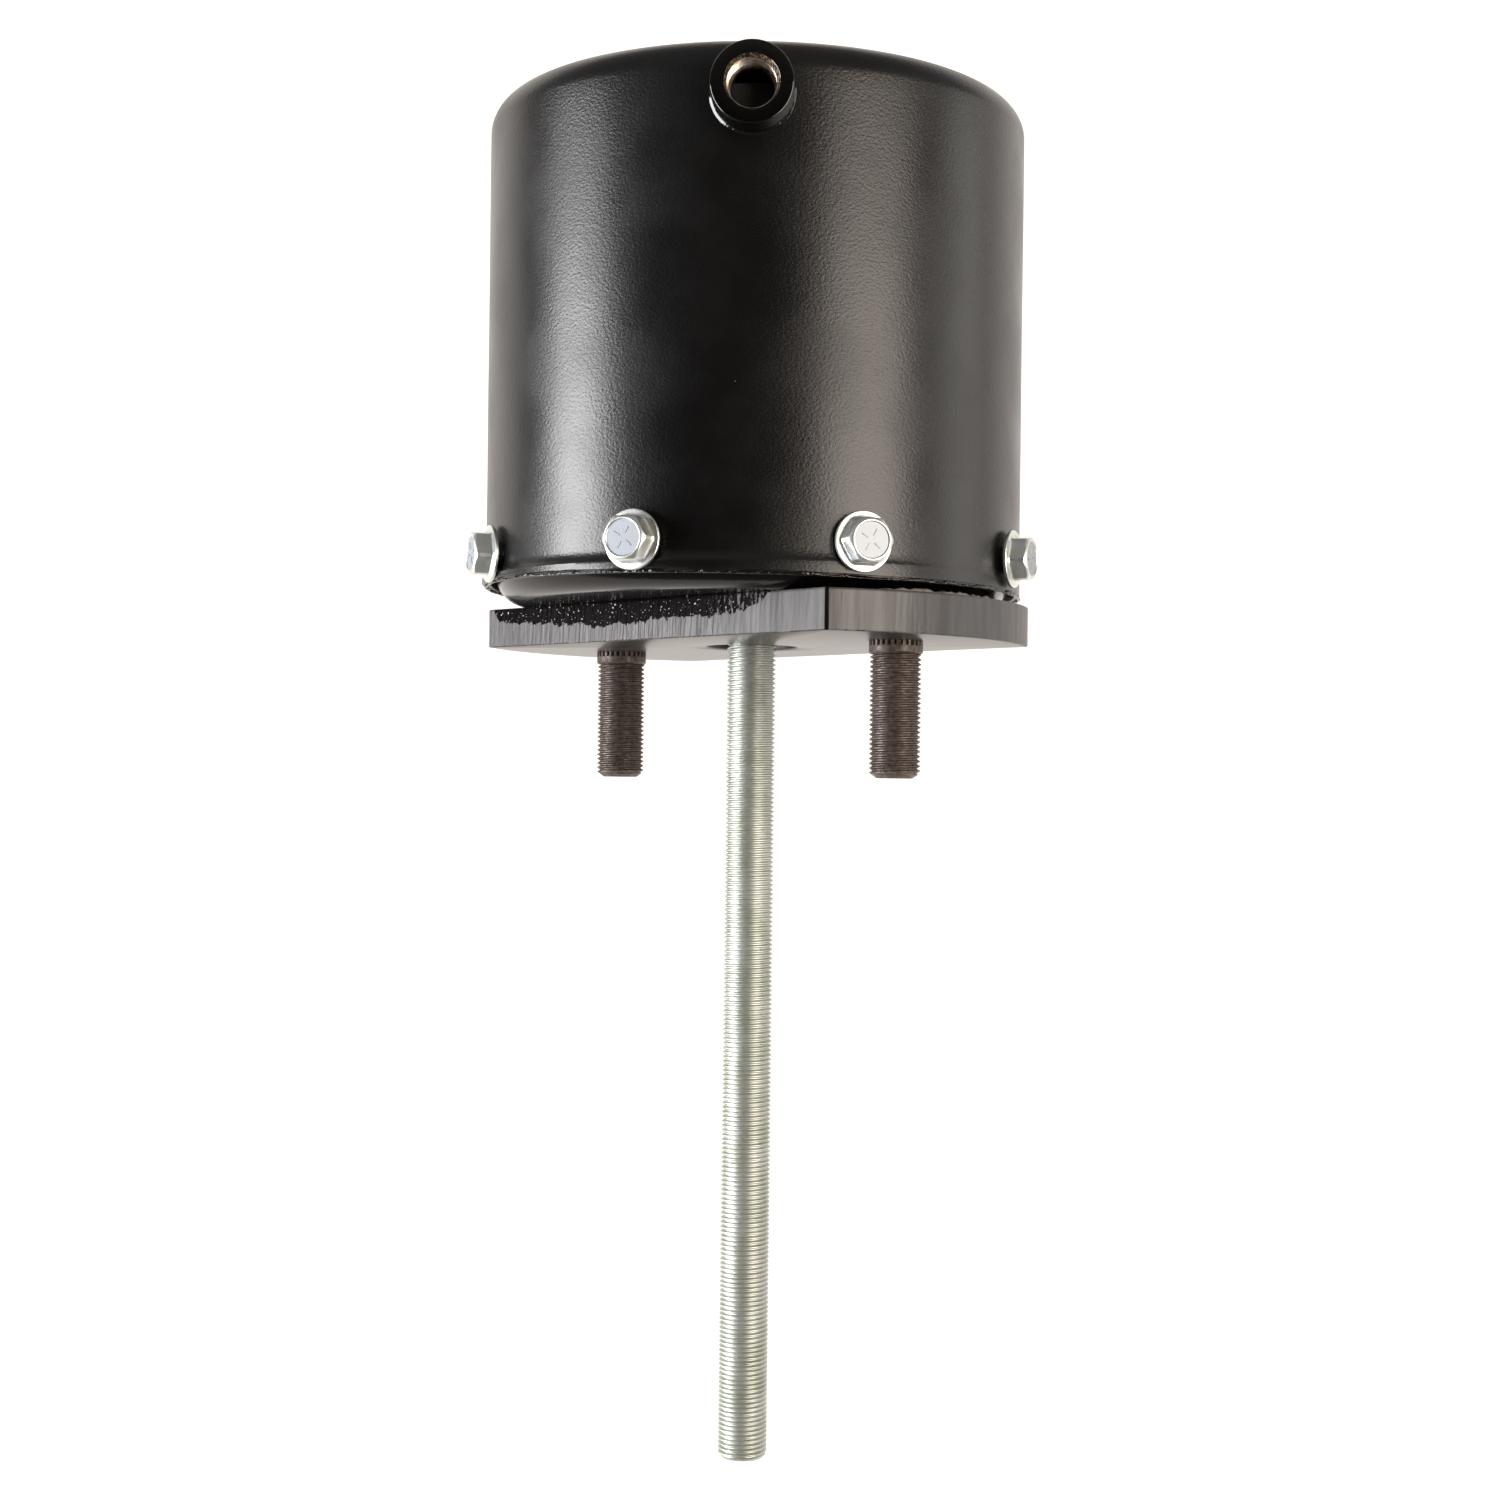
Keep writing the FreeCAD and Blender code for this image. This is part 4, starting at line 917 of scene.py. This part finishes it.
def makeStud(side):
    s = studSizes
    screw = wind("studThread", s, -s["collarFoot"] - s["overlap"], studCoat)
    screw.name = "stud" + side.capitalize()
    notch = np.tile(s["tooth"], s["teeth"])
    steps = len(notch)
    turns = np.linspace(0, 2 * math.pi, steps, endpoint=False)

    def level(radius, height, share=0.0):
        radii = radius - s["knurlDepth"] * share * notch
        heights = np.full(steps, float(height))
        return np.stack([radii * np.cos(turns), radii * np.sin(turns), heights], 1)

    rows = [level(radius, up - s["collarFoot"]) for radius, up in s["footLine"]]
    rows += [level(s["collar"], s["footBevel"] - s["collarFoot"]),
             level(s["collar"], -s["knurlFoot"] - s["knurlLead"]),
             level(s["collar"], -s["knurlFoot"], 1), level(s["collar"], s["knurlTop"], 1),
             level(s["head"], s["knurlTop"]), level(s["head"], s["headTop"] - s["headBevel"]),
             level(s["head"] - s["headBevel"], s["headTop"]), level(0, s["headTop"])]
    points = np.concatenate(rows) * mm
    collar = newPiece("studCollar", points, bandFaces(len(rows), steps), [studCoat], 35)
    stud = joinPieces([screw, collar])
    reach = s["spacing"] / 2 * (-1 if side == "left" else 1)
    turn = math.radians(s["turn"])
    place = Vector((reach * math.cos(turn), -reach * math.sin(turn), 0)) * mm
    for vertex in stud.data.vertices:
        vertex.co += place
    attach(stud, "housing")
    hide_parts("stud_" + side)


makeStud("left")
makeStud("right")


# Push rod: thread from its end to the plate, plain shank and tenon above

rodSizes = {
    "drop": 264.6, "tip": 6.7, "tipSlope": 1.0, "neck": 7.0, "neckSlope": 1.0, "wear": 0.03,
    "segments": 48, "threadTop": 2, "shank": 7.3, "shankBevel": 0.3, "overlap": 0.4,
    "shoulder": 138.5, "tenon": 7, "tenonTop": 161, "steps": 64,
}


def makeRod():
    s = rodSizes
    thread = wind("pushRod", s, s["threadTop"], rodZinc)
    foot = s["threadTop"] - s["overlap"]
    shank = lathe("rodShank", [
        (0, foot), (s["shank"] - s["shankBevel"], foot), (s["shank"], s["threadTop"]),
        (s["shank"], s["shoulder"]), (s["tenon"], s["shoulder"]), (s["tenon"], s["tenonTop"]),
        (0, s["tenonTop"])], rodZinc, s["steps"])
    rod = joinPieces([thread, shank])
    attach(rod, "rod_group")
    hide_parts("push_rod")


makeRod()
print("bolts, studs and rod made")


# Sealer squeezed out between plate and pan, and black lumps along the can's edge

beadSizes = {
    "sealerBead": {
        "from": 26, "to": 80, "radius": 84.4, "height": 12.75, "thick": 0.85, "steps": 420,
        "around": 12, "lumps": 70, "grain": 16, "swell": 0.75, "least": 0.2, "slant": 0},
    "edgeBead": {
        "from": -172, "to": 172, "radius": 86.6, "height": 16.3, "thick": 0.75, "steps": 1600,
        "around": 10, "lumps": 30, "grain": 5, "swell": 0.6, "least": 0.3, "slant": 0.016},
    # what both have: how much lumps and grain swell them, how far they wander, their tapered
    # ends, and their round section, a little flattened and raised
    "both": {"lumpy": 0.9, "grainy": 0.5, "wander": 0.5, "taper": 20, "tip": 0.02,
             "leastLift": -0.6, "flatten": 0.9, "raise": 0.75},
}


def makeBead(name, material):
    s = {**beadSizes["both"], **beadSizes[name]}
    points = []
    for step in range(s["steps"]):
        share = step / (s["steps"] - 1)
        angle = math.radians(-90 + s["from"] + (s["to"] - s["from"]) * share)
        swell = s["swell"] + s["lumpy"] * ripple(step, 0, 0, s["lumps"], 6)
        swell = max(s["least"], swell + s["grainy"] * ripple(step, 3, 0, s["grain"], 8))
        swell = swell * min(1, s["taper"] * share, s["taper"] * (1 - share)) + s["tip"]
        radius = s["radius"] + s["wander"] * ripple(step, 7, 0, s["lumps"], 1)
        lift = max(s["leastLift"], -s["slant"] * radius * math.cos(angle))
        for turn in np.linspace(0, 2 * math.pi, s["around"], endpoint=False):
            out = radius + s["thick"] * swell * math.cos(turn)
            rise = s["flatten"] * math.sin(turn) + s["raise"]
            up = s["height"] + lift + s["thick"] * swell * rise
            points.append((out * math.cos(angle) * mm, out * math.sin(angle) * mm, up * mm))
    around = s["around"]
    ends = [tuple(range(around)), tuple(range(len(points) - around, len(points)))]
    bead = newPiece(name, points, bandFaces(s["steps"], around) + ends, [material], 60)
    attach(bead, "housing")


makeBead("sealerBead", sealer)
makeBead("edgeBead", lumpy)


# Return spring: a wound wire between its seat and the piston

springSizes = {
    "radius": 40, "wire": 5.5, "turns": 6, "steps": 48, "around": 16,
    "stroke": 76,  # the whole range of piston_stroke
}


def makeSpring():
    s = springSizes
    low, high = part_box("return_spring")
    foot, tall = low[2] / mm, (high[2] - low[2]) / mm
    tree, given = newTree("windSpring", {
        "Radius": "Float", "Wire": "Float", "Height": "Float", "Foot": "Float", "Turns": "Float",
        "Steps": "Int", "Around": "Int", "Material": "Material"})
    line = addNode(tree, "GeometryNodeCurveSpiral", {
        "Resolution": given["Steps"], "Rotations": given["Turns"], "Start Radius": given["Radius"],
        "End Radius": given["Radius"], "Height": given["Height"]})
    wire = addNode(tree, "GeometryNodeCurvePrimitiveCircle", {
        "Resolution": given["Around"], "Radius": given["Wire"]})
    wound = addNode(tree, "GeometryNodeCurveToMesh", {
        "Curve": line.outputs[0], "Profile Curve": wire.outputs[0], "Fill Caps": True})
    lifted = addNode(tree, "GeometryNodeTransform", {
        0: wound.outputs[0], "Translation": vectorOf(tree, Z=given["Foot"])})
    closeTree(tree, lifted.outputs[0], given["Material"])
    spring = grow("returnSpring", tree, {
        "Radius": s["radius"] * mm, "Wire": s["wire"] / 2 * mm, "Height": (tall - s["wire"]) * mm,
        "Foot": (foot + s["wire"] / 2) * mm, "Turns": s["turns"], "Steps": s["steps"],
        "Around": s["around"], "Material": springCoat})
    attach(spring, "housing")
    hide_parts("return_spring")
    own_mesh(spring)


makeSpring()
print("beads and spring made")


# Inner pieces keep their solids and get their finishes

innerFinishes = {
    "weld_nuts": ("plainSteel", (0.3, 0.29, 0.28), 0.4, 0.9, "plain_steel"),
    "spring_seat": ("seatPaint", (0.015, 0.014, 0.014), 0.4, 0.0, "can_paint"),
    "piston": ("castAlloy", (0.5, 0.5, 0.49), 0.5, 0.85, "cast_alloy"),
    "guide_ring": ("guidePlastic", (0.55, 0.52, 0.45), 0.45, 0.0, "guide_plastic"),
    "felt_ring": ("oiledFelt", (0.2, 0.17, 0.12), 0.95, 0.0, "felt"),
    "cup_seal": ("sealRubber", (0.012, 0.012, 0.012), 0.6, 0.0, "seal_rubber"),
    "cup_expander": ("springSteel", (0.35, 0.34, 0.34), 0.3, 0.95, "spring_steel"),
    "cup_follower": ("followerSteel", (0.3, 0.29, 0.28), 0.42, 0.9, "plain_steel"),
    "follower_screws": ("screwZinc", (0.68, 0.69, 0.66), 0.3, 0.95, "zinc_screw"),
    "socket_cap": ("capAlloy", (0.48, 0.48, 0.47), 0.5, 0.85, "cast_alloy"),
    "cap_screws": ("capScrewZinc", (0.66, 0.67, 0.65), 0.3, 0.95, "zinc_screw"),
    "ball_liner": ("linerBronze", (0.5, 0.34, 0.16), 0.35, 0.95, "bronze"),
    "rod_ball": ("ballSteel", (0.42, 0.42, 0.42), 0.15, 1.0, "hard_steel"),
    "rod_pin": ("pinSteel", (0.4, 0.4, 0.4), 0.25, 1.0, "hard_steel"),
}
for node, (name, color, roughness, metallic, slot) in innerFinishes.items():
    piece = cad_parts[node]
    piece.data.materials.clear()
    piece.data.materials.append(plainFinish(name, color, roughness, metallic))
print("inner pieces finished")


# Studio: white backdrop, a floor in front that shows grey where the object mirrors it, a tall
# soft light on each side and a weak one further round on the right

studio = {
    "floor": -900, "reach": 3500, "near": 0, "step": 600, "back": 1700, "bend": 500,
    "bendFrom": 0.15, "height": 3000, "front": 2500, "aim": 60,
    "white": (1.29, 1.2, 1.12), "grey": (0.15, 0.147, 0.145), "air": (1, 0.97, 0.95),
    "airLow": 0.01, "airHigh": 0.26, "airRise": (0.1, 0.7), "airSeen": 1.1,
    "lights": {
        "leftSoftbox": {
            "turn": -76.5, "away": 1500, "height": -170, "size": (720, 1240),
            "watts": 52.5, "color": (1, 0.985, 1)},
        "rightSoftbox": {
            "turn": 47, "away": 1500, "height": -100, "size": (1000, 1320),
            "watts": 31, "color": (1, 0.89, 0.79)},
        "rightFill": {
            "turn": 95, "away": 1500, "height": 150, "size": (700, 1100),
            "watts": 5.5, "color": (1, 0.95, 0.9)},
    },
}


# Glows white to the camera, and in its own shade to all that mirrors it
def glowing(name, color):
    material = bpy.data.materials.new(name)
    material.use_nodes = True
    tree = material.node_tree
    tree.nodes.clear()
    seen = addNode(tree, "ShaderNodeLightPath").outputs["Is Camera Ray"]
    glow = addNode(tree, "ShaderNodeEmission", {
        "Color": blend(tree, seen, color, studio["white"]), "Strength": 1.0})
    tree.links.new(glow.outputs[0], addNode(tree, "ShaderNodeOutputMaterial").inputs[0])
    return material


# A place round the can's axis, from a turn in radians and lengths in mm
def standing(turn, away, height):
    return Vector((math.sin(turn) * away, -math.cos(turn) * away, height)) * mm


def softLight(name, s):
    lamp = bpy.data.lights.new(name, "AREA")
    lamp.shape = "RECTANGLE"
    lamp.size, lamp.size_y = metres(s["size"])
    lamp.energy = s["watts"]
    lamp.color = s["color"]
    light = bpy.data.objects.new(name, lamp)
    bpy.context.scene.collection.objects.link(light)
    light.location = standing(math.radians(s["turn"]), s["away"], s["height"])
    aim = Vector((0, 0, studio["aim"] * mm)) - light.location
    light.rotation_euler = aim.to_track_quat("-Z", "Y").to_euler()
    light.visible_camera = False
    return light


# The air is white to the camera. What the object gets from it is dark all round at eye level
# and brightens towards the ceiling
def makeAir():
    s = studio
    world = bpy.data.worlds.new("studioAir")
    bpy.context.scene.world = world
    world.use_nodes = True
    tree = world.node_tree
    direction = addNode(tree, "ShaderNodeTexCoord").outputs["Generated"]
    rise = partsOf(tree, direction)["Z"]
    light = tree.nodes["Background"].inputs
    light["Color"].default_value = (*s["air"], 1)
    seen = addNode(tree, "ShaderNodeLightPath").outputs["Is Camera Ray"]
    shade = between(tree, rise, *s["airRise"], s["airLow"], s["airHigh"])
    shown = calc(tree, "MAXIMUM", shade, calc(tree, "MULTIPLY", seen, s["airSeen"]))
    tree.links.new(shown, light["Strength"])


def makeStudio():
    s = studio
    wide, back, low, near, step, bend, front = metres(
        s[name] for name in ("reach", "back", "floor", "near", "step", "bend", "front"))
    sweep = [(y, low) for y in (near, step, back - bend)]
    sweep += [(back - bend + bend * math.sin(a), low + bend - bend * math.cos(a))
              for a in np.linspace(s["bendFrom"], math.pi / 2, 8)]
    sweep += [(back, s["height"] * mm)]
    points = [(x, y, z) for x in (-wide, wide) for y, z in sweep]
    count = len(sweep)
    faces = [(i, i + 1, count + i + 1, count + i) for i in range(count - 1)]
    backdrop = newPiece("backdrop", points, faces, [glowing("studioWhite", s["white"])], 60)
    corners = [(-wide, -front, low), (wide, -front, low), (wide, near, low), (-wide, near, low)]
    floorFront = newPiece("floorFront", corners, [(0, 1, 2, 3)], [glowing("floorGrey", s["grey"])])
    [softLight(name, sizes) for name, sizes in s["lights"].items()]
    makeAir()
    bpy.context.scene.view_settings.view_transform = "Standard"


cameraSizes = {
    "lens": 57.7, "sensor": 36, "distance": 786.85, "height": -47.56, "turn": 1.12, "roll": 0.69,
    "rise": 0.02846,  # shift, as a share of the frame
}


def makeCamera():
    s = cameraSizes
    eye = bpy.data.cameras.new("eye")
    eye.lens = s["lens"]
    eye.sensor_width = s["sensor"]
    eye.shift_y = s["rise"]
    camera = bpy.data.objects.new("eye", eye)
    bpy.context.scene.collection.objects.link(camera)
    turn = math.radians(s["turn"])
    camera.location = standing(turn, s["distance"], s["height"])
    camera.rotation_euler = (math.radians(90), -math.radians(s["roll"]), turn)
    bpy.context.scene.camera = camera


makeStudio()
makeCamera()
print("studio and camera ready")
